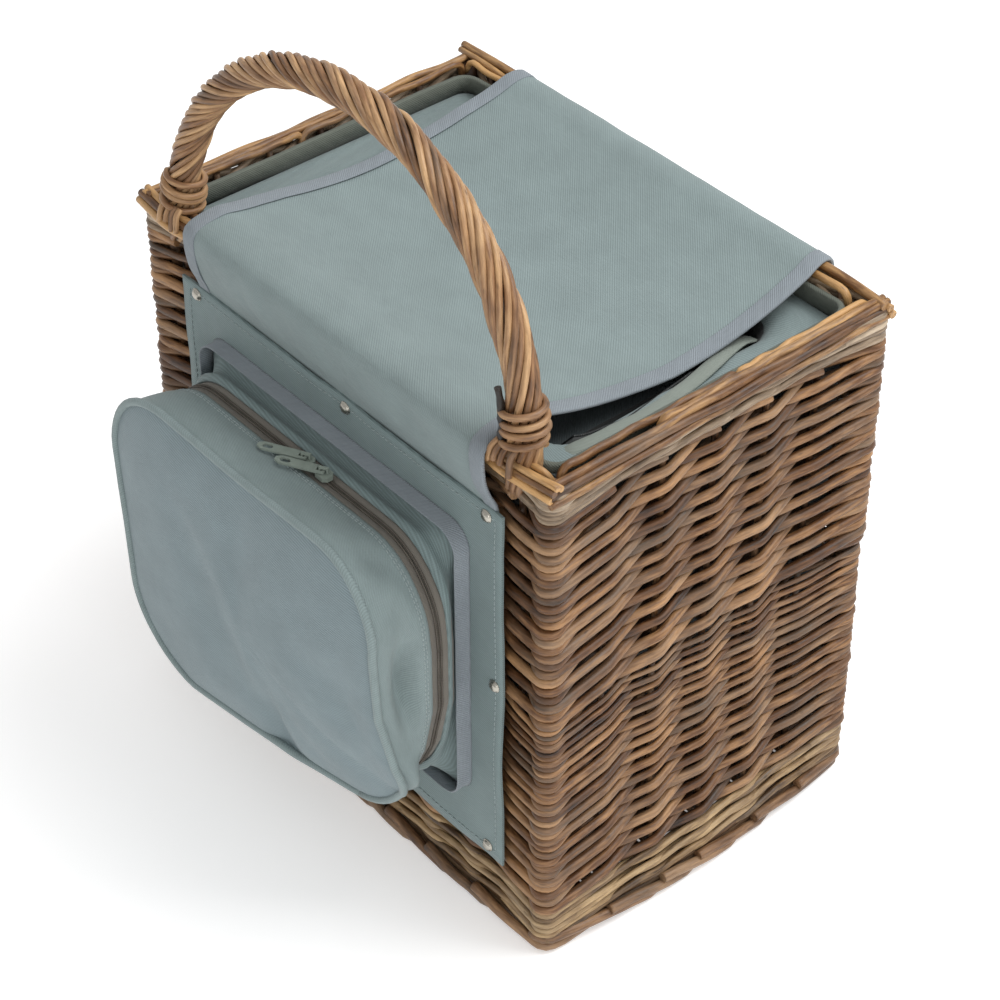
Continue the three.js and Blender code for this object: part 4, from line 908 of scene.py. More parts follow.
# %% Pads and foam boards
def pad(name, low, high, round_edge, crown, material, seed, sag=0.0):
    """A stuffed board: rings from the middle of its underside to the middle of its top."""
    half = (high - low) / 2
    middle = (high + low) / 2
    thin = min(range(3), key=lambda k: half[k])
    wide = [k for k in range(3) if k != thin]
    profile = [(-1, s) for s in (0.06, 0.3, 0.6, 0.85, 0.96)] + [(-0.55, 1.0), (0.0, 1.0), (0.55, 1.0)]
    profile += [(1, s) for s in (0.96, 0.85, 0.6, 0.3, 0.06)]
    rings, lays = [], []
    a, b = half[wide[0]], half[wide[1]]
    for level, share in profile:
        on_face = abs(level) == 1
        edge = min(a, b) * (1 - share)
        corner = max(round_edge - edge, 1.5 * MM)
        ring, _ = rounded_ring(a - edge - on_face * 0.5 * MM, b - edge, corner, 10, 4)
        height = level * half[thin] - np.sign(level) * crown * share**3
        points = np.zeros((len(ring), 3))
        points[:, wide[0]] = ring[:, 0] + middle[wide[0]]
        points[:, wide[1]] = ring[:, 1] + middle[wide[1]]
        ease = soft_noise(points, 60 * MM, seed) * sag * (1 - share) ** 0.5
        points[:, thin] = middle[thin] + height - np.sign(level) * np.abs(ease)
        rings.append(points)
        lays.append(np.stack([ring[:, 0], ring[:, 1], np.full(len(ring), height)], axis=1))
    # across X and Z the rings would run the other way round
    turned = -1 if wide == [0, 2] else 1
    return skin_rings(name, np.array(rings)[:, ::turned], np.array(lays)[:, ::turned], material)


for board in ("floor", "front", "back", "left", "right"):
    low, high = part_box(f"foam_{board}")
    made = pad(f"foam_board_{board}", low, high, 3 * MM, 0.5 * MM, white_foam, 3.0)
    settle(made, "basket", "foam", f"foam_{board}")

# %% [markdown]
# ## The collar and its tape
# Between the bag's top edge and the lid runs a sloping cloth collar. Its outer edge is held by a dark
# tape folded over the top of the bag, and its inner edge ends in a pale rolled lip beside the zip. The
# collar could be one bevelled ring, but its shelf is wavy and its back corners are rounder than the
# front ones, so it is a sheet over rings of its own.

# %% The collar
bag_half = ((skin_high.x - skin_low.x) / 2, (skin_high.y - skin_low.y) / 2)


def cooler_ring(inset, z, corner):
    ring, away = rounded_ring(bag_half[0] - inset, bag_half[1] - inset, corner, 14, 5)
    line = np.stack([ring[:, 0], ring[:, 1] + centre_y, np.full(len(ring), z)], axis=1)
    return line, np.concatenate([away, np.zeros((len(away), 1))], axis=1)


collar_path = smooth_line(np.array([
    (3.0, 379.4), (7.0, 377.8), (13.0, 377.6), (21.0, 377.0), (27.0, 374.5), (30.2, 367.0), (31.0, 358.8),
]), 3.5) * MM
collar_far = lengths(collar_path)
rows, lays = [], []
for (inset, z), far in zip(collar_path, collar_far):
    share = far / collar_far[-1]
    line, _ = cooler_ring(inset, z, (11 + 7 * share) * MM)
    wide_line, _ = cooler_ring(inset, z, (11 + 22 * share) * MM)
    line = np.where(line[:, 1:2] > centre_y, wide_line, line)
    line[:, 2] += 3.0 * MM * math.sin(math.pi * share) * soft_noise(line, 32 * MM, 4.0)
    rows.append(line)
    lays.append(ring_lay(line, far))
collar = sheet("collar_cloth", np.array(rows)[::-1], np.array(lays)[::-1], oxford, 1.1 * MM, wrap=True)
# painted shade: the collar's inner slope down to the zip, below 373 mm, takes the dark zip cloth, as it lies
# in shade under the cover
collar.data.materials.append(dark_zip_cloth)
for face in collar.data.polygons:
    if face.center.z < 373 * MM:
        face.material_index = 1
settle(collar, "basket", "oxford_cloth", "liner_collar")


# %% The tape over the top edge
def swept(name, line, outward, upward, section, material, loop=False):
    """Carry a flat closed section (outward, upward) along a line."""
    far = lengths(line)
    rings = np.stack([line + outward * a * MM + upward * b * MM for a, b in section], axis=1)
    edge = lengths(np.array(section)) * MM
    lay = np.stack([
        np.repeat(far[:, None], len(section), axis=1),
        np.repeat(edge[None, :], len(line), axis=0),
        np.zeros((len(line), len(section))),
    ], axis=2)
    return skin_rings(name, rings, lay, material, loop)


fold_section = [
    (1.4, -13.0), (1.6, 0.0), (0.6, 1.0), (-1.6, 1.0), (-2.6, 0.0), (-2.4, -13.0), (-1.6, -13.0),
    (-1.6, -0.4), (0.6, -0.4), (0.6, -13.0),
]
top_line, top_away = cooler_ring(0.0, skin_high.z + 4.0 * MM, 12 * MM)
top_line[:, 2] += 1.4 * MM * soft_noise(top_line, 40 * MM, 5.0)
top_line = top_line + top_away * (1.2 * MM * soft_noise(top_line, 35 * MM, 5.5))[:, None]
top_tape = swept("bag_top_tape", top_line, top_away, UPRIGHT, fold_section, dark_tape, loop=True)
settle(top_tape, "basket", "dark_tape", "liner_binding")


# %% The lip
lip_places = [
    (160, -106, 368), (161, -90, 376), (165, -62, 378), (167, -33, 378.6), (163, -1, 378), (156, 31, 377.4),
    (148, 58, 375.6), (142, 78, 366),
]
lip_line = smooth_line(np.array(lip_places) * MM + np.array([0, centre_y, 0]), 3 * MM)
lip_line = lip_line + UPRIGHT * (0.9 * MM * soft_noise(lip_line, 22 * MM, 6.0))[:, None]
lip_away = unit(np.cross(np.gradient(lip_line, axis=0), UPRIGHT))
lip_section = [
    (6.0, 0.2), (5.9, 1.2), (5.2, 1.7), (0.0, 1.8), (-4.4, 0.8), (-6.6, -1.8), (-6.4, -2.8),
    (-4.2, -1.0), (0.0, 0.4),
]
lip = swept("collar_lip", lip_line, lip_away, UPRIGHT, lip_section, lip_tape)
settle(lip, "basket", "oxford_cloth")

# %% [markdown]
# ## Zips
# A zip half is a woven tape with a row of teeth along one edge. The teeth here are a nylon coil. Its
# single windings would take many faces, and from a little way off it is a ribbed bead, so rings of
# alternating size along the edge make it. On the right side of the lid the zip is undone, so the
# collar's half of it has sprung up beside the lip.

# %% Zip halves
def ribbed_bead(line, radius, across):
    """A zip coil: a thin rod whose rings swell and shrink."""
    fine = resample(line, 0.7 * MM)
    swell = np.where(np.arange(len(fine)) % 2, 1.0, 0.66)
    return fine, radius * swell, across


def zip_side(name, line, outward, upward, reach, coil_at, tape_material, coil_material, closed=False):
    """A zip tape from 0 to reach (along outward) with its coil at coil_at."""
    section = [(0.0, -0.4), (reach, -0.4), (reach, 0.4), (0.0, 0.4)]
    tape = swept(f"{name}_band", line, outward, upward, section, tape_material, closed)
    coil_line = line + outward * coil_at * MM + upward * 0.7 * MM
    if closed:
        coil_line = looped(coil_line)
    coil = rods(f"{name}_coil", [ribbed_bead(coil_line, 0.95 * MM, upward[0])], coil_material, 6)
    return tape, coil


# %% The lid's zip
def three_sides(inset, z, corner):
    """The part of a cooler ring that the zip follows: left, back and right, open at the front."""
    line, away = cooler_ring(inset, z, corner)
    start = np.argmin(np.abs(line[:, 0] - line[:, 0].max()) + np.abs(line[:, 1] - line[:, 1].min()))
    line, away = np.roll(line, -start, axis=0), np.roll(away, -start, axis=0)
    at_front = np.argmax(line[:, 1] < line[:, 1].min() + 0.5 * MM)
    return line[:at_front], away[:at_front]


zip_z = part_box("collar_zip_tape")[0].z
fixed_line, fixed_away = three_sides(36.5 * MM, zip_z + 0.5 * MM, 20 * MM)
fine, coarse = lengths(resample(fixed_line, 5 * MM)), lengths(fixed_line)
fine_share, coarse_share = fine / fine[-1], coarse / coarse[-1]
fixed_line, fixed_away = [between(fine_share, coarse_share, rows) for rows in (fixed_line, fixed_away)]
open_y = (fixed_line[:, 1] - centre_y) / MM
open_part = (fixed_line[:, 0] > 140 * MM) * MM
aside_at, aside = [-104, -92, -66, -43, -16, 12, 33, 42], [2, 9, 10, 13.5, 9.5, 5.5, 1.5, 0]
raised_at, raised = [-104, -92, -82, -60, 20, 42], [0, 12, 17, 18.4, 17, 0]
fixed_line[:, 0] += open_part * np.interp(open_y, aside_at, aside)
fixed_line[:, 2] += open_part * np.interp(open_y, raised_at, raised)
up_all = np.tile(UPRIGHT, (len(fixed_line), 1))
zip_wide = 10.5
collar_tape, collar_coil = zip_side(
    "collar_zip", fixed_line, fixed_away, up_all, zip_wide, 0.4, dark_zip_cloth, dark_coil
)
settle(collar_tape, "basket", "dark_zip", "collar_zip_tape")
settle(collar_coil, "basket", "dark_zip")

moving_line, moving_away = three_sides(47.6 * MM, zip_z + 0.5 * MM, 16 * MM)
up_all = np.tile(UPRIGHT, (len(moving_line), 1))
lid_tape, lid_coil = zip_side(
    "lid_zip", moving_line, moving_away, up_all, zip_wide, zip_wide - 0.4, dark_zip_cloth, dark_coil
)
settle(lid_tape, "lid", "dark_zip", "lid_zip_tape")
settle(lid_coil, "lid", "dark_zip")

# %% [markdown]
# ## The lid
# The lid is a thin pad of foam between cloth above and foil film below. Its edge is pressed thin where
# the zip is sewn on. A short strip of cloth joins its front edge to the collar: that strip bends when
# the lid is lifted, so it is hung on neither body.

# %% The lid pad and its hinge cloth
lid_low, lid_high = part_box("cooler_lid")
# the lid's top is the darker bag cloth, as painted shade under the cover
lid_pad = pad("lid_pad", lid_low, lid_high, 14 * MM, 2.2 * MM, bag_cloth_painted_shade, 7.0, 1.0 * MM)
lid_pad.data.materials.append(foil_film)
for face in lid_pad.data.polygons:
    if face.center.z < (lid_low.z + lid_high.z) / 2:
        face.material_index = 1
settle(lid_pad, "lid", "oxford_cloth", "cooler_lid")

hinge_y = lid_low.y
strip_y = np.linspace(hinge_y - 9 * MM, hinge_y + 5 * MM, 15)
strip_x = np.linspace(lid_low.x + 8 * MM, lid_high.x - 8 * MM, 30)
strip = np.array([[(x, y, zip_z + 2.4 * MM) for x in strip_x] for y in strip_y])
strip[:, :, 2] += (climb(strip_y, hinge_y, hinge_y + 5 * MM) * 0.8 * MM)[:, None]
strip_lay = strip - np.array([0, 0, zip_z])
lid_strip = sheet("lid_hinge_cloth", strip, strip_lay, oxford, 0.8 * MM)
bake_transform(lid_strip)

# %% [markdown]
# ## The cover
# One long cloth covers the mouth. It is riveted behind the front panel, comes up over the rim, sags
# across the mouth and hangs down at the back. A simulation would find a sag of its own, but the photo
# fixes where the edges lie, so it is a grid that follows the path seen from the side, with soft wrinkles
# where it is bent over the front rim. The front end stays on the basket and the rest lifts, so the cloth
# would bend at the fold on the rim; here it is hung on neither body.

# %% The cover's path and edges
cover_low, cover_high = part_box("flap_cover")
cover_half = cover_high.x
cover_drop = cover_low.z
front_part = [
    (-138.0, 336.0), (-138.1, 350.0), (-140.0, 359.0), (-144.6, 370.0), (-147.4, 385.0), (-147.8, 397.0),
    (-145.4, 402.4), (-139.0, 404.2), (-121.0, 402.4),
]
middle_y = np.linspace(-113, 117, 24)
middle_part = [(y, 402.0 - 25.0 * (1 - ((y - 2.4) / 121.5) ** 2)) for y in middle_y]
back_part = [
    (125.0, 402.6), (133.0, 403.6), (140.4, 401.2), (144.2, 394.0), (145.0, 383.0), (144.6, 366.0),
    (144.0, 345.0), (143.6, cover_drop / MM),
]
cover_path = smooth_line(np.array(front_part + middle_part + back_part), 4.5) * MM
cover_far = lengths(cover_path)
cover_columns = 64
cover_x = np.linspace(-cover_half, cover_half, cover_columns)
grid = np.array([[(x, y + centre_y, z) for x in cover_x] for y, z in cover_path])
wider = climb(-cover_far, -112 * MM, -62 * MM)
right_part = np.clip(cover_x / cover_half, 0, 1)
grid[..., 0] += 14 * MM * wider[:, None] * right_part**3
grid[..., 1] -= 3 * MM * (wider * climb(cover_far, 24 * MM, 48 * MM))[:, None] * right_part**8
cover_share = cover_far / cover_far[-1]
left_shift = np.interp(cover_share, [0, 0.16, 0.25, 0.34, 0.6, 0.74, 1], [0, -1, -6, -12, -12, -7, -5])
right_shift = np.interp(
    cover_share, [0, 0.22, 0.29, 0.37, 0.44, 0.5, 0.7, 0.77, 0.83, 1], [0, 1, 1, 5, 8, 11, 11, 10, 6, 4]
)
across = (cover_x / cover_half + 1) / 2
grid[..., 0] += (left_shift[:, None] * (1 - across) + right_shift[:, None] * across) * MM

# %% The cover's wrinkles
cover_lay = np.array([[(x, far, 0.0) for x in cover_x] for far in cover_far])
flat_lay = cover_lay.reshape(-1, 3)
lay_x, lay_far, level = flat_lay.T
slanted = np.stack([lay_x + 0.8 * lay_far, 0.45 * (lay_far - 0.5 * lay_x), level], axis=1)
folds = soft_noise(slanted, 30 * MM, 8.0) + 0.5 * soft_noise(slanted, 15 * MM, 9.0)
broad = soft_noise(flat_lay, 95 * MM, 10.0)
shape = grid.shape[:2]
to_hem = cover_far[-1] - cover_far
fold_zone = hill(cover_far - 52 * MM, 30 * MM) * climb(cover_far, 20 * MM, 34 * MM)
back_zone = climb(-to_hem, -110 * MM, -60 * MM)
move = folds.reshape(shape) * (2.1 * fold_zone + 0.9 * back_zone)[:, None] * MM
calm = climb(cover_far, 70 * MM, 130 * MM) * climb(to_hem, 90 * MM, 140 * MM)
move = move + broad.reshape(shape) * 1.6 * MM * calm[:, None]
lift_side = np.abs(cover_x / cover_half) ** 3
normals = -grid_normals(grid, False)
normals = normals * np.sign(normals[len(normals) // 2, cover_columns // 2, 2])
grid = grid + normals * move[..., None]
grid[..., 2] += (calm[:, None] * lift_side[None, :]) * np.where(cover_x < 0, 4.5, 1.5) * MM
cover = sheet("cover_cloth", grid, cover_lay, oxford, 1.2 * MM)
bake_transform(cover)
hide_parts("flap_cover", "flap_tail")
print("cover:", round(2 * cover_half, 3), "by", round(cover_far[-1], 3), "m of cloth")

# %% [markdown]
# ## Tape on the cover's edges
# The edges are bound with a lighter twill tape, folded over the cloth and about a centimetre wide on
# each face. A tape follows the edge of the cover's own grid, so it wrinkles and lifts with it.

# %% Bindings and hem
upper_half = [(-11.0, 0.62), (-10.8, 1.1), (-10.3, 1.25), (-0.4, 1.3), (0.5, 1.1), (1.0, 0.5)]
tape_section = upper_half + [(a, -b) for a, b in upper_half[::-1]] + [(0.0, -0.6), (0.0, 0.6)]
final_normals = grid_normals(grid, False)
final_normals = final_normals * np.sign(final_normals[len(grid) // 2, cover_columns // 2, 2])
for column, side, word in ((0, -1.0, "left"), (-1, 1.0, "right")):
    outward = np.tile([side, 0.0, 0.0], (len(grid), 1))
    section = tape_section if side > 0 else tape_section[::-1]
    edge, above = grid[:, column], final_normals[:, column]
    tape = swept(f"cover_tape_{word}", edge, outward, above, section, twill_tape)
    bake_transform(tape)
    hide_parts(f"flap_binding_{word}", f"tail_binding_{word}")
down = np.tile([0.0, 0.0, -1.0], (grid.shape[1], 1))
hem = swept("cover_hem", grid[-1], down, final_normals[-1], tape_section, twill_tape)
settle(hem, "flap", "twill_tape", "flap_hem")

# %% [markdown]
# ## The front panel
# A stiffened cloth panel covers the front wall. Eight domed rivets hold it through the weave, and a
# line of stitches runs along its edges. A flat plane would look like a board, so its edges wave a
# little, and the waves die out at the rivets.

# %% The panel
rivet_spots = (
    "top_left", "top_middle", "top_right", "left", "right", "bottom_left", "bottom_middle", "bottom_right",
)
panel_low, panel_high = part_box("pocket_panel")
panel_columns, panel_rows = 60, 56
panel_x = np.linspace(panel_low.x, panel_high.x, panel_columns)
panel_z = np.linspace(panel_high.z, panel_low.z, panel_rows)
panel_y = (panel_low.y + panel_high.y) / 2
panel_grid = np.array([[(x, panel_y, z) for x in panel_x] for z in panel_z])
side_gap = np.minimum(panel_x - panel_low.x, panel_high.x - panel_x)
level_gap = np.minimum(panel_high.z - panel_z, panel_z - panel_low.z)
edge_gap = np.minimum(side_gap[None, :], level_gap[:, None])
loose = np.exp(-edge_gap / (14 * MM))
wave = soft_noise(panel_grid.reshape(-1, 3), 48 * MM, 12.0).reshape(panel_rows, panel_columns)
for spot in rivet_spots:
    low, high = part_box(f"rivet_{spot}")
    gap = np.hypot(panel_grid[..., 0] - (low.x + high.x) / 2, panel_grid[..., 2] - (low.z + high.z) / 2)
    loose = loose * (1 - hill(gap, 24 * MM))
panel_grid[..., 1] -= loose * (1.4 + 2.2 * wave) * MM
panel_lay = np.stack([panel_grid[..., 0], panel_grid[..., 2], np.zeros((panel_rows, panel_columns))], axis=2)
panel = sheet("front_panel", panel_grid, panel_lay, panel_cloth, 1.6 * MM)
settle(panel, "basket", "panel_cloth", "pocket_panel")

# %% Stitches
def stitches(name, line, upward, length=3.0, gap=1.4, girth=0.32):
    """A row of short threads that rise out of the cloth and dip back in."""
    far = lengths(line)
    strands = []
    for start in np.arange(0, far[-1] - length * MM, (length + gap) * MM):
        spots = start + np.array([0.0, 0.2, 0.8, 1.0]) * length * MM
        at, above = between(spots, far, line), between(spots, far, upward)
        at = at + above * (np.array([-0.25, 0.22, 0.22, -0.25]) * MM)[:, None]
        strands.append((at, girth * MM, above[1]))
    return rods(name, strands, thread, 5)


def inset_frame(inset):
    """The line inside the panel's edge, taken on the panel's own surface."""
    left, right = panel_low.x + inset, panel_high.x - inset
    low, high = panel_low.z + inset, panel_high.z - inset
    loop = np.array([(left, low), (left, high), (right, high), (right, low), (left, low)])
    loop = resample(loop, 4 * MM)
    column = np.interp(loop[:, 0], panel_x, np.arange(panel_columns)).round().astype(int)
    row = np.interp(-loop[:, 1], -panel_z, np.arange(panel_rows)).round().astype(int)
    return np.stack([loop[:, 0], panel_grid[row, column, 1] - 0.8 * MM, loop[:, 1]], axis=1)


panel_line = inset_frame(7 * MM)
panel_seam = stitches("panel_stitches", panel_line, np.tile([0.0, -1.0, 0.0], (len(panel_line), 1)))
settle(panel_seam, "basket", "panel_cloth")

# %% [markdown]
# ## Rivets
# A rivet's head is a low dome with a thin brim. A squashed ball would lack the brim, so a profile is
# turned round the middle. Plated metal is never quite even, so its roughness varies a little over the
# surface.

# %% Metal, and the rivets
def metal(name, colour, roughness, metallic, wear):
    kit = Shader(name, roughness, metallic)
    place = kit.add("ShaderNodeTexCoord", output=3)
    marks = kit.noise(place, 900.0, 4.0)
    kit.bump(marks, 0.05 * MM, 0.25)
    uneven = kit.spread(kit.noise(place, 160.0, 3.0), 0.3, 0.7, 1 - wear, 1 + wear)
    colour = kit.mix(1.0, colour, uneven, "MULTIPLY")
    return kit.done(colour, kit.spread(marks, 0.3, 0.7, roughness - 0.06, roughness + 0.08))


nickel = metal("nickel plate", linear(172, 168, 158), 0.26, 1.0, 0.1)
enamel = metal("grey-green enamel", linear(130, 140, 131), 0.42, 0.0, 0.08)

# shares of a rivet's radius and height, from its top to its brim
dome = [
    (0.05, 1.0), (0.3, 0.97), (0.55, 0.86), (0.74, 0.66), (0.84, 0.44), (0.88, 0.3),
    (0.97, 0.27), (1.0, 0.18), (0.98, 0.0),
]
head_height = 3.0 * MM
turn = np.linspace(0, 2 * np.pi, 20, endpoint=False)
for spot in rivet_spots:
    low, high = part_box(f"rivet_{spot}")
    middle = (low + high) / 2
    radius = (high.x - low.x) / 2
    rings = np.array([
        [(radius * r * math.cos(a), head_height * (1 - h), radius * r * math.sin(a)) for a in turn]
        for r, h in dome
    ]) + np.array([middle.x, low.y, middle.z])
    head = skin_rings(f"rivet_head_{spot}", rings[:, ::-1], rings[:, ::-1] - np.array(middle), nickel)
    settle(head, "basket", "nickel", f"rivet_{spot}")

# %% [markdown]
# ## The pocket's outline
# The pocket is a soft box. Its rear half is sewn to the panel, a zip runs all round it, and the front
# half bulges out to a piped edge and a padded face. Each part lies between rings of the same kind: a
# rectangle with round corners that grows from the panel to the face. Sculpting would work too, but rings
# that neighbouring parts share make these meet exactly.

# %% Rings of the pocket
rear_low, rear_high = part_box("pocket_rear_gusset")
shell_low, shell_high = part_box("pocket_front_gusset")
pocket_z = (rear_low.z + rear_high.z) / 2
zip_half = ((rear_high.x - rear_low.x) / 2, (rear_high.z - rear_low.z) / 2)
edge_half = ((shell_high.x - shell_low.x) / 2, (shell_high.z - shell_low.z) / 2)
edge_z = (shell_low.z + shell_high.z) / 2
base_half, base_z = (zip_half[0] - 3 * MM, zip_half[1] + 1 * MM), pocket_z + 7 * MM
pocket_y = {
    "base": rear_high.y, "zip_rear": rear_low.y, "zip_front": shell_high.y, "edge": shell_low.y,
    "front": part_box("pocket_face")[0].y,
}
pocket_y["zip"] = (pocket_y["zip_rear"] + pocket_y["zip_front"]) / 2


def pocket_ring(half, radius, z, y):
    """A ring of the pocket and its outward directions, seen from the front."""
    ring, away = rounded_ring(half[0], half[1], radius, 22, 12)
    line = np.stack([ring[:, 0], np.full(len(ring), y), ring[:, 1] + z], axis=1)
    return line, np.stack([away[:, 0], np.zeros(len(away)), away[:, 1]], axis=1)


def pocket_between(share, y, start, stop):
    """A ring on the way from one (half sizes, radius, z) to another."""
    half = tuple(a + (b - a) * share for a, b in zip(start[0], stop[0]))
    radius, z = [a + (b - a) * share for a, b in zip(start[1:], stop[1:])]
    return pocket_ring(half, radius, z, y)


base_corner, zip_corner, edge_corner = 14 * MM, 48 * MM, 62 * MM
base_shape = (base_half, base_corner, base_z)
zip_shape = (zip_half, zip_corner, pocket_z)
edge_shape = (edge_half, edge_corner, edge_z)

# %% How the pocket sags
def zip_bend(line, share=1.0):
    """Move a ring near the zip: on the right it bows out, and further down it is drawn in."""
    moves = np.interp(line[:, 2] / MM, [95, 122, 160, 200, 250, 292], [-27, -21, -4, 5, 5, 0]) * share
    return line + np.outer(moves * np.clip((line[:, 0] / MM - 60) / 50, 0, 1) * MM, [1.0, 0.0, 0.0])


def slump(line, share=1.0):
    """Move a ring of the front half: its lower right part has caved in, and its right edge is pinched."""
    turn = np.arctan2((line[:, 2] - edge_z) / edge_half[1], line[:, 0] / edge_half[0])
    moves = [np.interp(turn, slump_turns, column, period=2 * np.pi) for column in slump_moves.T]
    return line + np.stack(moves, axis=1) * share * MM


# place x, z on the front, and how far it moves in x, y and z, in millimetres
slump_table = np.array([
    (125, 302, -12, 0, 0), (143, 258, -18, 0, 0), (143, 202, -21, 5, 0), (143, 150, -18, 14, 6),
    (125, 102, -14, 29, 11), (68, 84, -5, 24, 1), (18, 84, -3, 15, 0), (-40, 84, 0, 8, 0),
    (-83, 84, 0, 3, 0), (-125, 102, 0, 2, 2), (-143, 160, 3, 0, 0), (-143, 260, 0, -1, 0),
    (-125, 302, 2, -2, 3), (0, 320, 0, 0, -2), (68, 320, 0, -1, 2),
], float)
slump_x, slump_z = slump_table[:, 0] * MM, slump_table[:, 1] * MM
slump_turns = np.arctan2((slump_z - edge_z) / edge_half[1], slump_x / edge_half[0])
slump_moves = slump_table[np.argsort(slump_turns), 2:]
slump_turns = np.sort(slump_turns)


# %% [markdown]
# ## The pocket's rear half and front half
# The rear gusset is drawn in a little between the panel and the zip. The front gusset is longer than the
# way it covers, so it bulges and wrinkles: noise that is stretched along the depth gives folds that run
# from zip to piping, and a few deeper dents lie mostly on the right, as in the photo.

# %% The rear half
rows, lays = [], []
for share in np.linspace(0, 1, 11):
    y = pocket_y["base"] + (pocket_y["zip_rear"] - pocket_y["base"]) * share
    line, away = pocket_between(share, y, base_shape, zip_shape)
    ease = 1.6 * soft_noise(line * np.array([1, 0.4, 1]), 34 * MM, 14.0) - 7.0
    ease = ease * math.sin(math.pi * min(1, share / 0.8)) * MM
    rows.append(zip_bend(line, share) + away * ease[:, None])
    lays.append(ring_lay(line, share * 22 * MM))
rear_gusset = sheet("rear_gusset_cloth", np.array(rows), np.array(lays), panel_cloth, 1.2 * MM, wrap=True)
settle(rear_gusset, "basket", "oxford_cloth", "pocket_rear_gusset")

rows, lays = [], []
for share in (1.0, 0.85, 0.6, 0.3, 0.05):
    half = (base_half[0] * share, base_half[1] * share)
    line, _ = pocket_ring(half, 13 * MM * share, base_z, pocket_y["base"] - 1.0 * MM)
    rows.append(line)
    lays.append(line[:, [0, 2, 1]] * np.array([1, 1, 0]))
rear_cloth = sheet(
    "pocket_back_cloth", np.array(rows), np.array(lays), face_cloth, 0.9 * MM, wrap=True, closed_end=True
)
settle(rear_cloth, "basket", "oxford_cloth", "pocket_back")

# %% The front half
gusset_rows = np.linspace(0, 1, 22)
# place x, z, depth and width in millimetres, then the share of the gusset's width and the spread
dents_at = (
    (104, 304, 11.0, 8, 0.55, 0.35), (122, 291, -4.0, 8, 0.5, 0.4), (137, 225, 15.0, 40, 0.45, 0.24),
    (136, 132, -8.0, 20, 0.45, 0.4), (-112, 120, 2.5, 20, 0.5, 0.5), (20, 318, 3.0, 26, 0.5, 0.4),
)
rows, lays = [], []
for share in gusset_rows:
    y = pocket_y["zip_front"] + (pocket_y["edge"] - pocket_y["zip_front"]) * share
    flare = share**0.8
    line, away = pocket_between(flare, y, zip_shape, edge_shape)
    window = math.sin(math.pi * share) ** 0.8 * min(1.0, max(0.0, (share - 0.1) / 0.2))
    long_folds = soft_noise(line * np.array([1, 0.25, 1]), 26 * MM, 16.0)
    cross_folds = soft_noise(line, 15 * MM, 17.0)
    ease = window * (1.6 * long_folds + 0.6 * cross_folds + 0.8)
    for x, z, deep, wide, row, spread in dents_at:
        gap = np.hypot(line[:, 0] - x * MM, line[:, 2] - z * MM)
        ease = ease - window * deep * hill(gap, wide * MM) * hill(share - row, spread)
    rows.append(slump(zip_bend(line, 1 - share) + away * (ease * MM)[:, None], share))
    lays.append(ring_lay(line, share * 40 * MM))
front_gusset = sheet("front_gusset_cloth", np.array(rows), np.array(lays), oxford, 1.2 * MM, wrap=True)
settle(front_gusset, "pocket_front", "oxford_cloth", "pocket_front_gusset")
gusset_grid = np.array(rows)

# %% [markdown]
# ## The face
# The face is a padded cloth that stands out most in its middle. Rings shrink from the piped edge to the
# middle, rise along a soft crown, and get broad shallow dents. Three valleys lie where the photo shows
# creases.

# %% The face of the pocket
crown = pocket_y["front"] - pocket_y["edge"]
rows, lays = [], []
for share in (1.0, 0.985, 0.965, 0.93, 0.88, 0.82, 0.75, 0.66, 0.56, 0.45, 0.34, 0.22, 0.1, 0.03):
    half = tuple(h * share for h in edge_half)
    line, _ = pocket_ring(half, max(edge_corner * share, 1 * MM), edge_z, pocket_y["edge"])
    rise = (1 - share**2.6) ** 0.78
    dents = soft_noise(line * np.array([1, 1, 0.35]), 36 * MM, 18.0) + 0.4 * soft_noise(line, 30 * MM, 19.0)
    line[:, 1] += crown * (0.03 + 0.97 * rise) - np.minimum(0.0, dents) * 5.0 * MM * rise
    x, z = line[:, 0] / MM, line[:, 2] / MM
    valley = 8.0 * hill(x - 8 - 0.1 * (z - 84), 11) * climb(-z, -215, -105)
    valley = valley + 6.0 * hill(x - 110, 13) * hill(z - 190, 55)
    valley = valley + 5.0 * hill(x + 52 - 0.42 * (250 - z), 17) * climb(-z, -280, -220)
    line[:, 1] += valley * rise**0.4 * MM
    lays.append(np.stack([line[:, 0], line[:, 2], np.zeros(len(line))], axis=1))
    rows.append(slump(line, share**1.5))
face = sheet(
    "pocket_face_cloth", np.array(rows), np.array(lays), face_cloth, 1.2 * MM, wrap=True, closed_end=True
)
settle(face, "pocket_front", "oxford_cloth", "pocket_face")

# %% Piping, frame tape and stitches
edge_line, edge_away = pocket_ring(edge_half, edge_corner, edge_z, pocket_y["edge"] - 1.6 * MM)
edge_line = edge_line + edge_away * (0.4 + 0.4 * soft_noise(edge_line, 30 * MM, 20.0))[:, None] * MM
edge_line = slump(edge_line)
piping = rods("pocket_piping_cord", [(looped(edge_line), 2.8 * MM, ACROSS)], oxford, 12)
settle(piping, "pocket_front", "oxford_cloth", "pocket_piping")

frame_line, frame_away = pocket_ring(base_half, base_corner, base_z, pocket_y["base"])
frame_line = frame_line + frame_away * (0.5 * soft_noise(frame_line, 25 * MM, 21.0) * MM)[:, None]
forward = np.tile([0.0, -1.0, 0.0], (len(frame_line), 1))
frame_section = [(0.7, 0.0), (1.2, 10.6), (1.8, 11.0), (2.5, 10.6), (2.2, 0.8), (3.4, 0.0)]
frame_tape = swept(
    "pocket_frame_ribbon", frame_line, frame_away, forward, frame_section, twill_tape, loop=True
)
settle(frame_tape, "basket", "twill_tape", "pocket_frame_tape")

seam_away = looped(pocket_ring(zip_half, zip_corner, pocket_z, 0.0)[1])
for number, row in enumerate((2, 3), 1):
    line = looped(gusset_grid[row]) + seam_away * 0.6 * MM
    seam = stitches(f"pocket_stitches_{number}", line, seam_away, 2.6, 1.2)
    settle(seam, "pocket_front", "oxford_cloth")

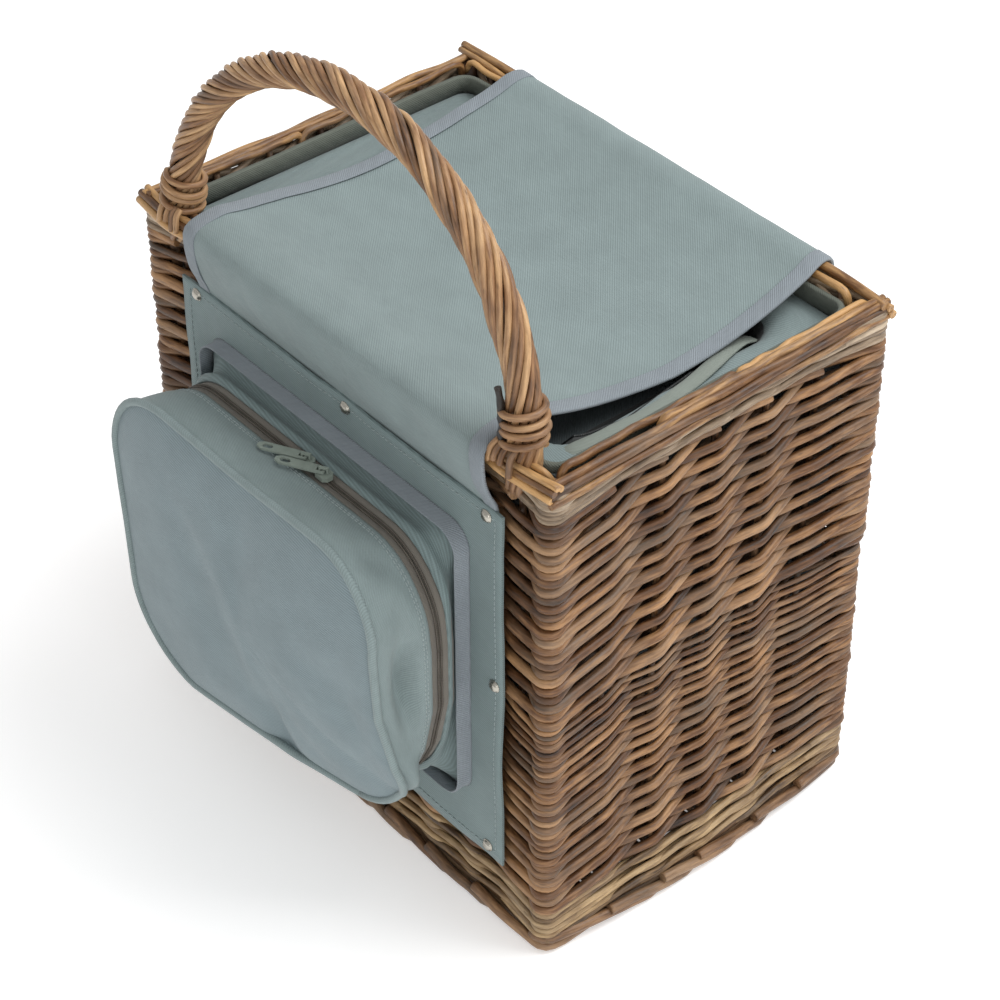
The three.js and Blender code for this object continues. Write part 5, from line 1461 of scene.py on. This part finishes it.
# %% [markdown]
# ## The pocket's zip
# The two halves of the zip meet in the middle of a band of brown-grey tape. Along the bottom the band
# is sewn through and acts as the hinge of the pocket: a strip of cloth inside it bends when the front
# half is folded down.

# %% The pocket's zip and hinge cloth
zip_line, zip_away = pocket_ring(zip_half, zip_corner, pocket_z, pocket_y["zip"])
zip_line = zip_bend(zip_line)
backward = np.tile([0.0, 1.0, 0.0], (len(zip_line), 1))
zip_reach = (pocket_y["zip_rear"] - pocket_y["zip"]) / MM + 4.0
for word, body, toward in (("rear", "basket", backward), ("front", "pocket_front", -backward)):
    start = zip_line - zip_away * 1.0 * MM + toward * 0.3 * MM
    tape, coil = zip_side(
        f"pocket_zip_{word}", start, toward, zip_away, zip_reach, 0.9, zip_cloth, coil_plastic, closed=True
    )
    settle(tape, body, "zip_tape", f"pocket_zip_{word}_tape")
    settle(coil, body, "zip_tape")

bottom_z = pocket_z - zip_half[1] + 1.6 * MM
strip_x = np.linspace(-78 * MM, 78 * MM, 26)
strip_y = np.linspace(pocket_y["zip"] + 6 * MM, pocket_y["zip"] - 6 * MM, 13)
strip = np.array([[(x, y, bottom_z) for x in strip_x] for y in strip_y])
strip_lay = strip - np.array([0, pocket_y["zip"], bottom_z])
pocket_strip = sheet("pocket_hinge_cloth", strip, strip_lay, face_cloth, 0.8 * MM)
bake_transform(pocket_strip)

# %% [markdown]
# ## Sliders and pulls
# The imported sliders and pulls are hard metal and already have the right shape, so they stay. They get
# enamel, and a small bevel that rounds their edges.

# %% Sliders and pulls
for node in (
    "pocket_left_slider", "pocket_left_pull", "pocket_right_slider", "pocket_right_pull",
    "lid_zip_slider", "lid_zip_pull",
):
    part = bpy.data.objects[node]
    part.data.materials.clear()
    part.data.materials.append(enamel)
    soften = part.modifiers.new("soft edges", "BEVEL")
    soften.width = 0.35 * MM
    soften.segments = 2
    soften.limit_method = "ANGLE"

# %% [markdown]
# ## Sticks behind the weave
# Light would shine through the walls beside the corners and just above the foot. Four stout sticks and
# a hoop behind the weave stop it, like the doubled stakes of a real basket. They are made last, so that
# the random numbers of the other pieces stay as they are.

# %% Sticks behind the weave
inner_hoop = on_wall(hoop_far, -9.5 * MM, np.full(len(hoop_far), 20 * MM))
# the deep values darken these sticks and the hoop as painted shade where the gaps in the weave show only
# shade
inner_sticks = [(inner_hoop, hoop_radius, UPRIGHT, hoop_deep)]
stick_x, stick_radius = 180.5 * MM, 4.2 * MM
stick_heights = np.linspace(12 * MM, rim_top - 20 * MM, upright_points)
for x, y in ((-stick_x, half_y), (stick_x, half_y), (-stick_x, -half_y), (stick_x, -half_y)):
    line = on_wall(np.full(upright_points, far_of(x, y)), stake_out, stick_heights)
    inner_sticks.append((line, stick_radius, LEVEL, upright_deep))
settle(rods("inner_sticks", inner_sticks, brown_willow), "basket", "willow")

# %% [markdown]
# ## Floor, light and camera
# The photo shows the basket on plain white, lit from all sides like in a light tent. A white floor, a
# bright even sky and two large soft lamps do the same. The camera stands where the photo was
# taken from: in front, to the right and well above.

# %% Floor
def floor_paint():
    kit = Shader("white floor", 0.9)
    kit.surface.inputs["Specular IOR Level"].default_value = 0.1
    kit.surface.inputs["Emission Color"].default_value = (1.0, 1.0, 1.0, 1.0)
    kit.surface.inputs["Emission Strength"].default_value = 0.3
    speck = kit.noise(kit.add("ShaderNodeTexCoord", output=3), 3.0, 2.0)
    return kit.done(kit.mix(speck, linear(242, 242, 242), linear(246, 246, 246)))


floor_size = 40.0
corners = np.array([(-1, -1, 0), (1, -1, 0), (1, 1, 0), (-1, 1, 0)]) * floor_size
floor = make_mesh("studio_floor", corners, [[0, 1, 2, 3]], corners, floor_paint())

# %% Light
sky = bpy.data.worlds.new("white tent")
bpy.context.scene.world = sky
sky.use_nodes = True
sky.node_tree.nodes["Background"].inputs["Color"].default_value = (1.0, 1.0, 1.0, 1.0)
sky.node_tree.nodes["Background"].inputs["Strength"].default_value = 0.66


def lamp(name, place, aim, size, power):
    light = bpy.data.lights.new(name, "AREA")
    light.size = size
    light.energy = power
    holder = bpy.data.objects.new(name, light)
    holder.location = place
    holder.rotation_euler = (Vector(aim) - Vector(place)).to_track_quat("-Z", "Y").to_euler()
    bpy.context.scene.collection.objects.link(holder)
    return holder


lamp("top lamp", (0.8, 1.0, 2.4), (0.0, 0.0, 0.25), 1.6, 50)
lamp("side lamp", (2.1, -1.0, 1.2), (0.0, 0.0, 0.25), 1.0, 14)

# %% Camera
camera = bpy.data.objects.new("photo camera", bpy.data.cameras.new("photo camera"))
camera.data.lens = 95.98
camera.data.sensor_width = 36.0
camera.location = (1.0534, -0.86255, 1.3558)
aim = Vector((0.0230, 0.01505, 0.2152))
camera.rotation_euler = (aim - camera.location).to_track_quat("-Z", "Y").to_euler()
bpy.context.scene.collection.objects.link(camera)
bpy.context.scene.camera = camera
bpy.context.scene.view_settings.view_transform = "Standard"
